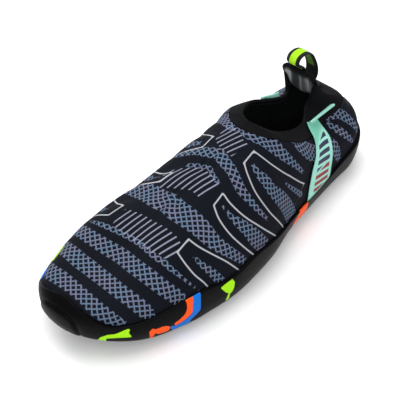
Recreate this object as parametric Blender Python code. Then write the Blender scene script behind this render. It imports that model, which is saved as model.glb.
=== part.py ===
"""A left water shoe: a knitted sock upper on a thin rubber sole that wraps up its sides and toe.

Metres, +Z up. The toe points to -Y, the outer (little toe) side is +X, and the floor is z = 0.
The upper's outer face is one function, face(t, v). t runs once round the shoe in turns: 0 is the heel,
0.25 the outer side, 0.5 the toe and 0.75 the inner side. v runs up a rib of the form, from the feather
edge on the sole (0) to the collar's rim or, in front of the throat, to the ridge of the instep (1).
Every piece that follows the foot is cut from that function, by a lift along its normal.
"""

import math

import bmesh
import bpy
import numpy as np

# Driving sizes of the whole shoe.
LENGTH = 0.2680
BALL_WIDTH = 0.1020
TOE_SPRING = 0.0100
ARCH_RISE = 0.0030
SOLE_THICKNESS = 0.0070
TUCK = 0.0050

# Heights of the form over the sole's bed: the low side of the collar's rim, then what the throat
# and the heel tab stand over it.
COLLAR_HEIGHT = 0.0520
THROAT_RISE = 0.0205
TAB_RISE = 0.0310
OPENING_HALF_WIDTH = 0.0195

# Walls and clearances.
GAP = 0.0003
SEAM_GAP = 0.0006
UPPER_WALL = 0.0018
COLLAR_WALL = 0.0026
RUBBER_WALL = 0.0020
INSOLE_THICKNESS = 0.0035

# The webbing pull loop, from the back of the heel tab over to the heel.
LOOP_WIDTH = 0.0105
LOOP_THICKNESS = 0.0015
LOOP_REACH = 0.0170
LOOP_RISE = 0.0130

# The side straps and their folded ends.
STRAP_THICKNESS = 0.0009
STRAP_SLANT = 0.16
FOLD_LENGTH = 0.0250
FOLD_STAND = 0.0042
FOLD_THICKNESS = 0.0015

# The tread, and the panel moulded into the toe.
UNDERSIDE_INSET = 0.0050
CORNER_ROUND = 0.3
LUG_HEIGHT = 0.0016
LUG_MARGIN = 0.0012
PANEL_HALF_WIDTH = 0.0145
PANEL_STEP = 0.0008
PANEL_RAISE = 0.0009

# Where the throat and the front of the ridge lie, as shares of LENGTH from the heel, and the turn of
# the throat on the ring. The outline's ends are rounded over shares of LENGTH.
THROAT = 0.393
RIDGE_FRONT = 0.885
THROAT_Q = 0.43
FEATHER_V = 0.2
HEEL_ROUND = 0.12
TOE_ROUND = 0.27

# Sections along the shoe. "at" is a share of LENGTH from the heel, swing and half are shares of
# BALL_WIDTH, belly and crest are shares of the throat's height, wrap is the rubber's height over the
# bed as a share of COLLAR_HEIGHT, spring and arch are shares of TOE_SPRING and ARCH_RISE.
SECTIONS = {
    "at": (0.00, 0.08, 0.16, 0.28, THROAT, 0.50, 0.58, 0.66, 0.74, 0.82, 0.89, 0.94, 1.00),
    "swing": (0.00, 0.00, 0.012, 0.028, 0.053, 0.073, 0.064, 0.034, -0.008, -0.037, -0.050, -0.073, -0.105),
    "half": (0.333, 0.343, 0.335, 0.350, 0.368, 0.410, 0.430, 0.452, 0.457, 0.449, 0.450, 0.458, 0.470),
    "belly": (0.33, 0.34, 0.32, 0.27, 0.24, 0.21, 0.20, 0.18, 0.17, 0.16, 0.15, 0.15, 0.15),
    "crest": (1.00, 1.00, 1.00, 1.00, 1.00, 0.97, 0.90, 0.80, 0.70, 0.54, 0.42, 0.37, 0.33),
    "wrap": (0.38, 0.35, 0.27, 0.18, 0.21, 0.33, 0.41, 0.37, 0.43, 0.385, 0.30, 0.25, 0.40),
    "spring": (0.10, 0.00, 0.00, 0.00, 0.00, 0.00, 0.00, 0.00, 0.00, 0.10, 0.38, 0.66, 1.00),
    "arch": (0.00, 0.00, 0.00, 0.35, 1.00, 0.80, 0.20, 0.00, 0.00, 0.00, 0.00, 0.00, 0.00),
}

# The collar's rim from the middle of the heel tab (q = 0) to the throat. "across" is a share of
# OPENING_HALF_WIDTH from the centre line, "along" a share of LENGTH from the heel, tab and throat
# are shares of TAB_RISE and THROAT_RISE, inner is what the inner side stands higher, as a share of
# THROAT_RISE, lean is the wall's lean from upright in degrees, and band is the black collar's depth
# below the rim as a share of COLLAR_HEIGHT.
RIM = {
    "q": (0.000, 0.050, 0.100, 0.140, 0.190, 0.235, 0.285, 0.345, 0.390, THROAT_Q),
    "across": (0.00, 0.48, 0.74, 0.62, 0.50, 0.70, 0.89, 0.95, 0.65, 0.00),
    "along": (0.178, 0.179, 0.181, 0.183, 0.188, 0.212, 0.243, 0.295, 0.360, THROAT),
    "tab": (0.95, 0.97, 0.90, 0.55, 0.17, 0.05, 0.02, 0.00, 0.00, 0.00),
    "throat": (0.00, 0.00, 0.00, 0.00, 0.00, 0.02, 0.08, 0.33, 0.66, 1.00),
    "inner": (0.00, 0.00, 0.00, 0.00, 0.00, 0.05, 0.14, 0.24, 0.16, 0.00),
    "lean": (18, 19, 20, 21, 24, 26, 30, 49, 76, 84),
    "band": (0.98, 0.92, 0.80, 0.62, 0.38, 0.27, 0.20, 0.18, 0.17, 0.17),
}

# The pull loop's free arc behind the tab's top edge: back is a share of LOOP_REACH, up of LOOP_RISE.
LOOP = {
    "back": (0.00, -0.25, -0.42, -0.34, 0.00, 0.40, 0.72, 0.90),
    "up": (0.15, 0.40, 0.68, 0.93, 1.00, 0.74, 0.10, -0.85),
}

# The edges of a side strap: up is the share of the rib, front and back are shares of LENGTH from the
# heel.
STRAP = {
    "up": (0.00, 0.20, 0.40, 0.60, 0.80, 1.00),
    "front": (0.325, 0.318, 0.302, 0.268, 0.241, 0.236),
    "back": (0.212, 0.206, 0.195, 0.184, 0.182, 0.182),
}

# How finely each half of the ring is cut, from the heel to the toe.
HEEL_CUTS = 9
HEEL_CUTS_END = 0.20
SIDE_CUTS = 4
SIDE_CUTS_END = 0.34
RIM_CUTS = 7
THROAT_CUTS = 3
FRONT_CUTS = 13
PANEL_CUTS = 3
ACROSS_CUTS = 6
STRAP_ROWS = 12
STRAP_COLUMNS = 5
STRAP_FOOT = 0.012
FOLD_COLUMNS = 7
FOLD_TOP = 0.97
FOLD_DIP = 0.22
LOOP_CUTS = 3


def smooth_through(knots, values, x, flat_ends=False):
    """A monotone cubic through the knots, whose ends run level or along the last chord."""
    knots, values = np.asarray(knots, float), np.asarray(values, float)
    widths = np.diff(knots)
    chords = np.diff(values) / widths
    slopes = np.zeros(len(knots))
    left, right = chords[:-1], chords[1:]
    same_way = left * right > 0
    total = np.where(same_way, left + right, 1.0)
    slopes[1:-1] = np.where(same_way, 2.0 * left * right / total, 0.0)
    if not flat_ends:
        slopes[0], slopes[-1] = chords[0], chords[-1]
    x = np.asarray(x, float)
    k = np.clip(np.searchsorted(knots, x) - 1, 0, len(knots) - 2)
    w = (x - knots[k]) / widths[k]
    return ((1 + 2 * w) * (1 - w) ** 2 * values[k] + w * (1 - w) ** 2 * widths[k] * slopes[k]
            + w * w * (3 - 2 * w) * values[k + 1] - w * w * (1 - w) * widths[k] * slopes[k + 1])


def section(name, s):
    return smooth_through(SECTIONS["at"], SECTIONS[name], s)


def rim(name, q, flat_ends=True):
    return smooth_through(RIM["q"], RIM[name], np.minimum(q, THROAT_Q), flat_ends)


def rounding(distance, radius):
    """The half width near a rounded end, as a share of the full one."""
    u = np.clip(1 - distance / radius, 0, 1)
    return (1 - u ** 2.1) ** (1 / 2.1)


def ring(t):
    """The share of the way from heel to toe, and the side: +1 outer, -1 inner."""
    t = np.asarray(t, float) % 1.0
    return 1 - np.abs(1 - 2 * t), np.where(t <= 0.5, 1.0, -1.0)


def outline(t):
    """The widest line of the upper in plan: x, y and the station it lies at."""
    q, side = ring(t)
    s = (1 - np.cos(np.pi * q)) / 2
    cap = rounding(s, HEEL_ROUND) * rounding(1 - s, TOE_ROUND)
    x = BALL_WIDTH * (section("swing", s) + side * section("half", s) * cap)
    return x, LENGTH * (0.5 - s), s


def plan_inward(t):
    """The level direction inward, square to the outline."""
    step = 0.002
    ahead, behind = outline(t + step), outline(t - step)
    dx, dy = ahead[0] - behind[0], ahead[1] - behind[1]
    size = np.hypot(dx, dy)
    return np.stack([dy / size, -dx / size, 0 * dx], -1)


def underside(s):
    return TOE_SPRING * section("spring", s) + ARCH_RISE * section("arch", s)


def bed(s):
    return underside(s) + SOLE_THICKNESS


def throat_height():
    return COLLAR_HEIGHT + THROAT_RISE


def ridge_z(s):
    return bed(s) + throat_height() * section("crest", s)


def top_of_rib(t):
    """The rim's point behind the throat and the ridge's point in front of it, and the wall's lean."""
    q, side = ring(t)
    w = np.clip((q - THROAT_Q) / (1 - THROAT_Q), 0, 1)
    onward = 0.35 * w * w * (3 - 2 * w) + 0.65 * np.sin(np.pi * w / 2)
    s = np.where(q < THROAT_Q, rim("along", q), THROAT + (RIDGE_FRONT - THROAT) * onward)
    across = OPENING_HALF_WIDTH * np.where(q < THROAT_Q, rim("across", q, False), 0.0)
    x = BALL_WIDTH * section("swing", s) + side * across
    risen = rim("throat", q) + np.where(side < 0, rim("inner", q), 0.0)
    rim_z = bed(s) + COLLAR_HEIGHT + TAB_RISE * rim("tab", q) + THROAT_RISE * risen
    z = np.where(q < THROAT_Q, rim_z, ridge_z(s))
    step = 0.001
    slope = (ridge_z(s + step) - ridge_z(s - step)) / (2 * step * LENGTH)
    slope = np.where(q < THROAT_Q, 0.0, slope)
    lean = np.radians(rim("lean", q) + (90 - RIM["lean"][-1]) * np.clip(w / 0.08, 0, 1))
    return np.stack([x, LENGTH * (0.5 - s), z], -1), slope, lean


def bezier(points, w):
    a, b, c, d = points
    w = w[..., None]
    return (1 - w) ** 3 * a + 3 * w * (1 - w) ** 2 * b + 3 * w * w * (1 - w) * c + w ** 3 * d


def face(t, v):
    """The outer face of the upper."""
    t, v = np.broadcast_arrays(np.asarray(t, float), np.asarray(v, float))
    x, y, s = outline(t)
    top, slope, lean = top_of_rib(t)
    inward = top[..., :2] - np.stack([x, y], -1)
    reach = np.hypot(inward[..., 0], inward[..., 1])
    inward = np.concatenate([inward / reach[..., None], np.zeros(reach.shape + (1,))], -1)
    up = np.array([0.0, 0.0, 1.0])
    low_z = bed(s)
    wide_z = low_z + throat_height() * section("belly", s)
    wide = np.stack([x, y, wide_z], -1)
    inset = plan_inward(t) * TUCK
    feather = np.stack([x, y, low_z], -1) + inset
    rise = top[..., 2] - wide_z
    chord = np.hypot(reach, rise)
    down = -inward * np.sin(lean)[..., None]
    down[..., 2] = -np.cos(lean) + np.sin(lean) * slope * inward[..., 1]
    above = [wide, wide + up * (0.40 * chord)[..., None], top + down * (0.42 * chord)[..., None], top]
    below = [feather, feather - inset * 0.8, wide - up * (0.55 * (wide_z - low_z))[..., None], wide]
    low = bezier(below, np.clip(v / FEATHER_V, 0, 1))
    high = bezier(above, np.clip((v - FEATHER_V) / (1 - FEATHER_V), 0, 1))
    return np.where((v < FEATHER_V)[..., None], low, high)


def normal(t, v):
    """The outward normal of the face. On the ridge the two sides' normals are averaged."""
    t, v = np.broadcast_arrays(np.asarray(t, float), np.asarray(v, float))

    def raw(t):
        step = 0.0008
        at = np.minimum(v, 0.996)
        along = face(t + step, at) - face(t - step, at)
        upward = face(t, at + step) - face(t, np.maximum(at - step, 0))
        across = np.cross(upward, along)
        return across / np.linalg.norm(across, axis=-1, keepdims=True)

    q, _ = ring(t)
    on_ridge = (v > 0.9999) & (q >= THROAT_Q - 1e-9)
    both = raw(t) + raw(1 - t)
    both = both / np.linalg.norm(both, axis=-1, keepdims=True)
    return np.where(on_ridge[..., None], both, raw(t))


def lifted(t, v, lift):
    lift = np.broadcast_to(np.asarray(lift, float), np.broadcast(t, v).shape)
    return face(t, v) + normal(t, v) * lift[..., None]


def invert(t, measure, target):
    """The v on each rib at which a rising measure of the rib reaches its target."""
    vs = np.linspace(0.0, 1.0, 161)
    out = []
    for turn, goal in zip(t, np.broadcast_to(target, np.shape(t))):
        out.append(np.interp(goal, measure(turn, vs), vs))
    return np.array(out)


def rib_length_from_top(turn, vs):
    points = face(turn, vs)
    steps = np.linalg.norm(np.diff(points, axis=0), axis=-1)
    run = np.concatenate([[0.0], np.cumsum(steps)])
    return run - run[-1]


def seam_v(t, clearance):
    """Where the black collar starts on each rib, moved away from the rim by a clearance.

    Its depth is measured down the rib at the heel, and square to the rim along the side and throat.
    """
    q, _ = ring(t)
    depth = COLLAR_HEIGHT * rim("band", q) + clearance
    half = np.linspace(RIM["q"][4], THROAT_Q, 60) / 2
    line = face(np.concatenate([half, 1 - half[::-1]]), 1.0)

    def nearness(turn, vs):
        away = np.linalg.norm(face(turn, vs)[:, None] - line[None], axis=-1)
        return -away.min(axis=1)

    down_rib = invert(t, rib_length_from_top, -depth)
    square = invert(t, nearness, -depth)
    share = smooth_through((RIM["q"][4], RIM["q"][5]), (0.0, 1.0), np.clip(q, RIM["q"][4], RIM["q"][5]), True)
    return down_rib + (square - down_rib) * share


def seam_or_ridge(t, clearance):
    """The top of the upper, and the foot of the collar, on each rib."""
    q, _ = ring(t)
    return np.where(q >= seam_front(clearance) - 1e-9, 1.0, np.minimum(seam_v(t, clearance), 1.0))


def seam_front(clearance):
    """The q at which the collar's seam crosses the ridge in front of the throat."""
    qs = np.linspace(THROAT_Q, THROAT_Q + 0.2, 200)
    away = np.linalg.norm(face(qs / 2, 1.0) - face(THROAT_Q / 2, 1.0), axis=-1)
    return float(np.interp(COLLAR_HEIGHT * rim("band", THROAT_Q) + clearance, away, qs))


def wrap_v(t):
    """Where the rubber's upper edge lies on each rib."""
    s = outline(t)[2]
    return invert(t, lambda turn, vs: face(turn, vs)[..., 2], bed(s) + COLLAR_HEIGHT * section("wrap", s))


def panel_q(offset):
    """The q near the toe at which the outline is a given distance out from the toe's middle."""
    qs = np.linspace(1.0, 0.8, 200)
    return float(np.interp(offset, outline(qs / 2)[0] - outline(0.5)[0], qs))


def ring_turns(clearance):
    """The ribs' turns round the shoe, closer together at the tab, at the throat and at the panel."""
    front = seam_front(clearance)
    fan = np.sin(np.pi / 2 * np.arange(THROAT_CUTS) / THROAT_CUTS)
    panel = [panel_q(PANEL_HALF_WIDTH + PANEL_STEP), panel_q(PANEL_HALF_WIDTH)]
    q = np.concatenate([
        np.linspace(0.0, HEEL_CUTS_END, HEEL_CUTS, endpoint=False),
        np.linspace(HEEL_CUTS_END, SIDE_CUTS_END, SIDE_CUTS, endpoint=False),
        np.linspace(SIDE_CUTS_END, THROAT_Q, RIM_CUTS, endpoint=False),
        THROAT_Q + (front - THROAT_Q) * fan,
        np.linspace(front, panel[0], FRONT_CUTS, endpoint=False),
        panel, np.linspace(panel[1], 1.0, PANEL_CUTS + 1)[1:]])
    half = q[1:-1] / 2
    return np.concatenate([[0.0], half, [0.5], 1 - half[::-1]])


def own_material(obj, colour, roughness, metallic=0.0):
    mat = bpy.data.materials.new(obj.name + "_finish")
    mat.use_nodes = True
    shader = mat.node_tree.nodes["Principled BSDF"]
    shader.inputs["Base Color"].default_value = (*colour, 1.0)
    shader.inputs["Roughness"].default_value = roughness
    shader.inputs["Metallic"].default_value = metallic
    obj.data.materials.append(mat)


def finish(name, bm, colour, roughness):
    """Close the mesh, turn its faces outward and put it in the scene under its own name."""
    bmesh.ops.remove_doubles(bm, verts=bm.verts[:], dist=2e-6)
    bmesh.ops.dissolve_degenerate(bm, edges=bm.edges[:], dist=2e-6)
    bmesh.ops.recalc_face_normals(bm, faces=bm.faces[:])
    mesh = bpy.data.meshes.new(name)
    bm.to_mesh(mesh)
    bm.free()
    mesh.shade_smooth()
    mesh.set_sharp_from_angle(angle=math.radians(40))
    obj = bpy.data.objects.new(name, mesh)
    bpy.context.scene.collection.objects.link(obj)
    own_material(obj, colour, roughness)
    return obj


def add_sheet(bm, points, left_out=None):
    """A grid of rows and columns laid on an array of points, without the faces that are left out."""
    rows, columns = points.shape[:2]
    grid = bmesh.ops.create_grid(bm, x_segments=columns - 1, y_segments=rows - 1, size=1.0)
    cells = {}
    for face_ in {f for vert in grid["verts"] for f in vert.link_faces}:
        centre = face_.calc_center_median()
        cells[face_] = (int((centre.y + 1) / 2 * (rows - 1)), int((centre.x + 1) / 2 * (columns - 1)))
    for vert in grid["verts"]:
        column = round((vert.co.x + 1) / 2 * (columns - 1))
        row = round((vert.co.y + 1) / 2 * (rows - 1))
        vert.co = points[row, column]
    if left_out is not None:
        gone = [f for f, cell in cells.items() if left_out[cell]]
        bmesh.ops.delete(bm, geom=gone, context="FACES")
    return {cell: f for f, cell in cells.items() if f.is_valid}


def ring_shell(bm, t, outer, crown, inner, joined_from):
    """A wall between an outer and an inner sheet of rows, with a crown of rows along its top.

    Ribs at joined_from and beyond meet the other side's ribs on the ridge, so that nothing shuts
    the wall there.
    """
    points = np.concatenate([outer, crown, inner[::-1], outer[:1]])
    left_out = np.zeros((len(points) - 1, points.shape[1] - 1), bool)
    q, _ = ring(t)
    meeting = q >= joined_from - 1e-9
    left_out[len(outer) - 1:len(outer) + len(crown)] = meeting[:-1] & meeting[1:]
    add_sheet(bm, points, left_out)


def across_points(edge, turns):
    """A sheet across the shoe between the outer and the inner half of a ring's row."""
    count = len(turns) // 2
    outer = edge[:count + 1]
    inner = np.concatenate([edge[:1], edge[:count - 1:-1]])
    share = np.linspace(0.0, 1.0, ACROSS_CUTS + 1)[None, :, None]
    return outer[:, None] * (1 - share) + inner[:, None] * share


def shut(row):
    """A row of the ring with its first rib repeated at the end."""
    return np.concatenate([row, row[..., :1, :]], axis=-2)


def plate(name, front, back, colour, roughness):
    """A thin solid between two matching sheets of points."""
    bm = bmesh.new()
    add_sheet(bm, front)
    add_sheet(bm, back)
    bmesh.ops.bridge_loops(bm, edges=[edge for edge in bm.edges if edge.is_boundary])
    return finish(name, bm, colour, roughness)


def upper_rows(t):
    """The upper's rows on each rib, which the rubber's inner face follows too."""
    foot = np.array([0.0, 0.25, 0.5, 0.75])[:, None] * FEATHER_V * np.ones_like(t)[None, :]
    shares = np.array([0.0, 0.10, 0.20, 0.32, 0.45, 0.58, 0.72, 0.86, 1.0])[:, None]
    return np.concatenate([foot, FEATHER_V + shares * (seam_or_ridge(t, SEAM_GAP) - FEATHER_V)])


def build_upper():
    t = ring_turns(SEAM_GAP)
    t = np.append(t, t[0])
    v = upper_rows(t)
    bm = bmesh.new()
    outer = lifted(t, v, 0.0)
    ring_shell(bm, t, outer, outer[:0], lifted(t, v, -UPPER_WALL), seam_front(SEAM_GAP))
    finish("upper", bm, (0.012, 0.014, 0.022), 0.75)


def build_collar():
    t = ring_turns(0.0)
    q, _ = ring(t)
    half = int(np.sum(q[:len(t) // 2] <= seam_front(0.0) + 1e-9))
    t = np.concatenate([t[-half + 1:], t[:half]])
    start = seam_or_ridge(t, 0.0)
    shares = np.array([0.0, 0.2, 0.4, 0.6, 0.8, 1.0])
    v = start[None, :] + shares[:, None] * (1 - start)[None, :]
    middle = lifted(t, np.ones_like(t), -COLLAR_WALL / 2)
    q, _ = ring(t)
    round_over = np.where(q < THROAT_Q - 1e-9, COLLAR_WALL / 3, 0.0)
    middle[..., 2] += round_over
    bm = bmesh.new()
    ring_shell(bm, t, lifted(t, v, 0.0), middle[None], lifted(t, v, -COLLAR_WALL), THROAT_Q)
    finish("collar", bm, (0.010, 0.010, 0.012), 0.8)


def toe_panel(t):
    """1 on the ribs of the toe panel and 0 beyond its edge."""
    q, _ = ring(t)
    return np.clip((q - panel_q(PANEL_HALF_WIDTH + PANEL_STEP))
                   / (panel_q(PANEL_HALF_WIDTH) - panel_q(PANEL_HALF_WIDTH + PANEL_STEP)), 0, 1)


def build_outsole():
    t = ring_turns(SEAM_GAP)
    x, y, s = outline(t)
    top = wrap_v(t)
    lift = GAP + RUBBER_WALL
    shares = np.array([0.0, 0.10, 0.35, 0.60, 0.86, 0.92, 1.0])
    start = 0.7 * FEATHER_V
    v = start + shares[:, None] * (top - start)[None, :]
    raised = PANEL_RAISE * toe_panel(t)[None, :] * (v <= start + 0.9 * (top - start)[None, :])
    taper = np.where(shares == 1.0, 0.6, 1.0)[:, None]
    wall = lifted(t, v, GAP + RUBBER_WALL * taper + raised)
    flat = np.stack([x, y, underside(s) + LUG_HEIGHT], -1)
    bottom = flat + plan_inward(t) * UNDERSIDE_INSET
    corner = wall[0] + (bottom - wall[0]) * CORNER_ROUND
    corner[..., 2] = flat[..., 2]
    shares = np.array([0.0, 0.4, 0.75])[:, None, None]
    turned = (1 - shares) ** 2 * bottom + 2 * shares * (1 - shares) * corner + shares ** 2 * wall[0]
    inside = lifted(t, np.minimum(upper_rows(t), top)[::-1], GAP)
    bm = bmesh.new()
    add_sheet(bm, shut(np.concatenate([turned, wall, inside])))
    add_sheet(bm, across_points(inside[-1], t))
    under = add_sheet(bm, across_points(bottom, t))
    pods = []
    for first in range(2, len(t) // 2 - 3, 2):
        for column in range(0, ACROSS_CUTS, 2):
            pods.append([under[(first + i, column + j)] for i in (0, 1) for j in (0, 1)])
    for pod in pods:
        bmesh.ops.inset_region(bm, faces=pod, thickness=LUG_MARGIN, use_boundary=True,
                               use_even_offset=True)
        for vert in {corner_ for f in pod for corner_ in f.verts}:
            vert.co.z -= LUG_HEIGHT
    finish("outsole", bm, (0.011, 0.011, 0.012), 0.5)


def build_insole():
    t = ring_turns(SEAM_GAP)
    low = face(t, 0.0) + plan_inward(t) * GAP
    high = low + np.array([0.0, 0.0, INSOLE_THICKNESS])
    bm = bmesh.new()
    add_sheet(bm, shut(np.stack([low, high])))
    add_sheet(bm, across_points(low, t))
    add_sheet(bm, across_points(high, t))
    finish("insole", bm, (0.02, 0.02, 0.022), 0.9)


def turns_at(along, v, side):
    """The turns of the points of one side that lie at given places along Y, for one v."""
    turns = np.linspace(0.01, 0.30, 240)
    ys = face(turns, np.full_like(turns, v))[..., 1]
    found = np.interp(-np.asarray(along), -ys, turns)
    return found if side > 0 else 1 - found


def strap_edges(up):
    """Where the strap's front and back edges lie along Y."""
    return [LENGTH * (0.5 - smooth_through(STRAP["up"], STRAP[edge], up)) for edge in ("front", "back")]


def strap_net(foot, rows, columns, side):
    """The strap's turns and ribs, row by row from the foot to its top, which slants down to the back."""
    share = np.linspace(0.0, 1.0, columns)
    v = foot + np.linspace(0.0, 1.0, rows)[:, None] * (1.0 - STRAP_SLANT * share - foot)
    t = np.array([[turns_at([front + (back - front) * part], up, side)[0]
                   for part, up, (front, back) in zip(share, row, (strap_edges(up) for up in row))] for row in v])
    return t, v


def build_strap(name, side):
    """A mint band from the rubber's edge to the rim."""
    low = np.linspace(*strap_edges(0.0), STRAP_COLUMNS)
    foot = float(np.max(wrap_v(turns_at(low, FEATHER_V, side)))) + STRAP_FOOT
    t, v = strap_net(foot, STRAP_ROWS, STRAP_COLUMNS, side)
    plate(name, lifted(t, v, 2 * GAP + STRAP_THICKNESS), lifted(t, v, 2 * GAP), (0.30, 0.72, 0.60), 0.7)


def build_fold(name, side):
    """The strap's folded end: a narrow shelf that stands off the rim and runs back over the heel."""
    share = np.linspace(0.0, 1.0, FOLD_COLUMNS)
    along = strap_edges(FOLD_TOP)[0] + FOLD_THICKNESS + share * FOLD_LENGTH
    up = FOLD_TOP - FOLD_DIP * share
    t = np.concatenate([turns_at([y], v, side) for y, v in zip(along, up)])
    lifts = STRAP_THICKNESS + 4 * GAP + np.linspace(0.0, 1.0, 4)[:, None] * FOLD_STAND
    ribs = np.linalg.norm(face(t, up) - face(t, up - 0.02), axis=-1)
    half = 0.02 * FOLD_THICKNESS / 2 / ribs
    sheets = [lifted(np.tile(t, (4, 1)), np.tile(up - half + shift, (4, 1)), lifts) for shift in (half, -half)]
    plate(name, sheets[0], sheets[1], (0.30, 0.72, 0.60), 0.7)


def loop_path():
    """The pull loop's middle line in the plane x = 0, from the tab's back over to the heel."""
    lift = 2.5 * GAP + LOOP_THICKNESS / 2
    tab = lifted(0.0, 1.0, 0.0)
    sewn_up = lifted(np.zeros(3), np.linspace(0.90, 0.985, 3), lift)
    arc = np.array([[0.0, tab[1] + back * LOOP_REACH, tab[2] + up * LOOP_RISE]
                    for back, up in zip(LOOP["back"], LOOP["up"])])
    sewn_down = lifted(np.zeros(3), np.linspace(0.72, 0.64, 3), lift)
    points = np.concatenate([sewn_up, arc, sewn_down])[:, 1:]
    run = np.concatenate([[0.0], np.cumsum(np.linalg.norm(np.diff(points, axis=0), axis=-1))])
    slopes = np.gradient(points, run, axis=0)
    path = []
    for i in range(len(points) - 1):
        width = run[i + 1] - run[i]
        for w in np.linspace(0.0, 1.0, LOOP_CUTS, endpoint=False):
            path.append((1 + 2 * w) * (1 - w) ** 2 * points[i] + w * (1 - w) ** 2 * width * slopes[i]
                        + w * w * (3 - 2 * w) * points[i + 1] - w * w * (1 - w) * width * slopes[i + 1])
    path.append(points[-1])
    return np.array(path)


def build_pull_loop():
    path = loop_path()
    along = np.gradient(path, axis=0)
    along /= np.linalg.norm(along, axis=-1, keepdims=True)
    out = np.stack([-along[:, 1], along[:, 0]], -1)
    across = np.linspace(-0.5, 0.5, 3) * LOOP_WIDTH
    sheets = []
    for shift in (LOOP_THICKNESS / 2, -LOOP_THICKNESS / 2):
        line = path + out * shift
        sheet = np.zeros((len(line), len(across), 3))
        sheet[..., 0] = across[None, :]
        sheet[..., 1:] = line[:, None, :]
        sheets.append(sheet)
    plate("pull_loop", sheets[0], sheets[1], (0.010, 0.010, 0.011), 0.8)


for leftover in list(bpy.data.objects):
    bpy.data.objects.remove(leftover, do_unlink=True)

build_outsole()
build_insole()
build_upper()
build_collar()
build_strap("lateral_strap", 1)
build_strap("medial_strap", -1)
build_fold("lateral_strap_fold", 1)
build_fold("medial_strap_fold", -1)
build_pull_loop()
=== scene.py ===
"""A left water shoe, dressed for a studio picture.

Metres, +Z up. The toe points to -Y and the outer (little toe) side is +X. The knit's outer face is one
function, face(t, v): t runs once round the shoe in turns from the heel over the outer side, the toe and
the inner side, and v runs up each rib from the feather edge (0) to the collar's rim or the instep's
ridge (1). The prints, the straps and the rubber all follow that face.
"""

import math

import bmesh
import bpy
import numpy as np
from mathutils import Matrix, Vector


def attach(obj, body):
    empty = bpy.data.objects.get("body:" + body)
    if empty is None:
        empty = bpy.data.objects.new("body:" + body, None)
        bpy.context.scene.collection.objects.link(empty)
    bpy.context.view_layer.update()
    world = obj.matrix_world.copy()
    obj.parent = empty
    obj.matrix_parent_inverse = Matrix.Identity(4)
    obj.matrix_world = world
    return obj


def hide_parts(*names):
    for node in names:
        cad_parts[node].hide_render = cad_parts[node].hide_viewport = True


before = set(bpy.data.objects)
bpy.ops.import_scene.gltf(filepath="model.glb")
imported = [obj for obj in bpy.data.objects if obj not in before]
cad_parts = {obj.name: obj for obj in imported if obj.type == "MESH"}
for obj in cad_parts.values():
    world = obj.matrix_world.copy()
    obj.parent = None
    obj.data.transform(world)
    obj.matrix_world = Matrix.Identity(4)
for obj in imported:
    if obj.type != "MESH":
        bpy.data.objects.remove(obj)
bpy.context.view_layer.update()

# Driving sizes of the whole shoe.
LENGTH = 0.2680
BALL_WIDTH = 0.1020
TOE_SPRING = 0.0100
ARCH_RISE = 0.0030
SOLE_THICKNESS = 0.0070
TUCK = 0.0050

# Heights of the form over the sole's bed: the low side of the collar's rim, then what the throat
# and the heel tab stand over it.
COLLAR_HEIGHT = 0.0520
THROAT_RISE = 0.0205
TAB_RISE = 0.0310
OPENING_HALF_WIDTH = 0.0195

# Walls and clearances.
GAP = 0.0003
SEAM_GAP = 0.0006
UPPER_WALL = 0.0018
COLLAR_WALL = 0.0026
RUBBER_WALL = 0.0020
INSOLE_THICKNESS = 0.0035

# The webbing pull loop, from the back of the heel tab over to the heel.
LOOP_WIDTH = 0.0105
LOOP_THICKNESS = 0.0015
LOOP_REACH = 0.0170
LOOP_RISE = 0.0130

# The side straps and their folded ends.
STRAP_THICKNESS = 0.0009
STRAP_SLANT = 0.16
FOLD_LENGTH = 0.0250
FOLD_STAND = 0.0042
FOLD_THICKNESS = 0.0015

# The tread, and the panel moulded into the toe.
UNDERSIDE_INSET = 0.0050
CORNER_ROUND = 0.3
LUG_HEIGHT = 0.0016
LUG_MARGIN = 0.0012
PANEL_HALF_WIDTH = 0.0145
PANEL_STEP = 0.0008
PANEL_RAISE = 0.0009

# Where the throat and the front of the ridge lie, as shares of LENGTH from the heel, and the turn of
# the throat on the ring. The outline's ends are rounded over shares of LENGTH.
THROAT = 0.393
RIDGE_FRONT = 0.885
THROAT_Q = 0.43
FEATHER_V = 0.2
HEEL_ROUND = 0.12
TOE_ROUND = 0.27

# Sections along the shoe. "at" is a share of LENGTH from the heel, swing and half are shares of
# BALL_WIDTH, belly and crest are shares of the throat's height, wrap is the rubber's height over the
# bed as a share of COLLAR_HEIGHT, spring and arch are shares of TOE_SPRING and ARCH_RISE.
SECTIONS = {
    "at": (0.00, 0.08, 0.16, 0.28, THROAT, 0.50, 0.58, 0.66, 0.74, 0.82, 0.89, 0.94, 1.00),
    "swing": (0.00, 0.00, 0.012, 0.028, 0.053, 0.073, 0.064, 0.034, -0.008, -0.037, -0.050, -0.073, -0.105),
    "half": (0.333, 0.343, 0.335, 0.350, 0.368, 0.410, 0.430, 0.452, 0.457, 0.449, 0.450, 0.458, 0.470),
    "belly": (0.33, 0.34, 0.32, 0.27, 0.24, 0.21, 0.20, 0.18, 0.17, 0.16, 0.15, 0.15, 0.15),
    "crest": (1.00, 1.00, 1.00, 1.00, 1.00, 0.97, 0.90, 0.80, 0.70, 0.54, 0.42, 0.37, 0.33),
    "wrap": (0.38, 0.35, 0.27, 0.18, 0.21, 0.33, 0.41, 0.37, 0.43, 0.385, 0.30, 0.25, 0.40),
    "spring": (0.10, 0.00, 0.00, 0.00, 0.00, 0.00, 0.00, 0.00, 0.00, 0.10, 0.38, 0.66, 1.00),
    "arch": (0.00, 0.00, 0.00, 0.35, 1.00, 0.80, 0.20, 0.00, 0.00, 0.00, 0.00, 0.00, 0.00),
}

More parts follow.
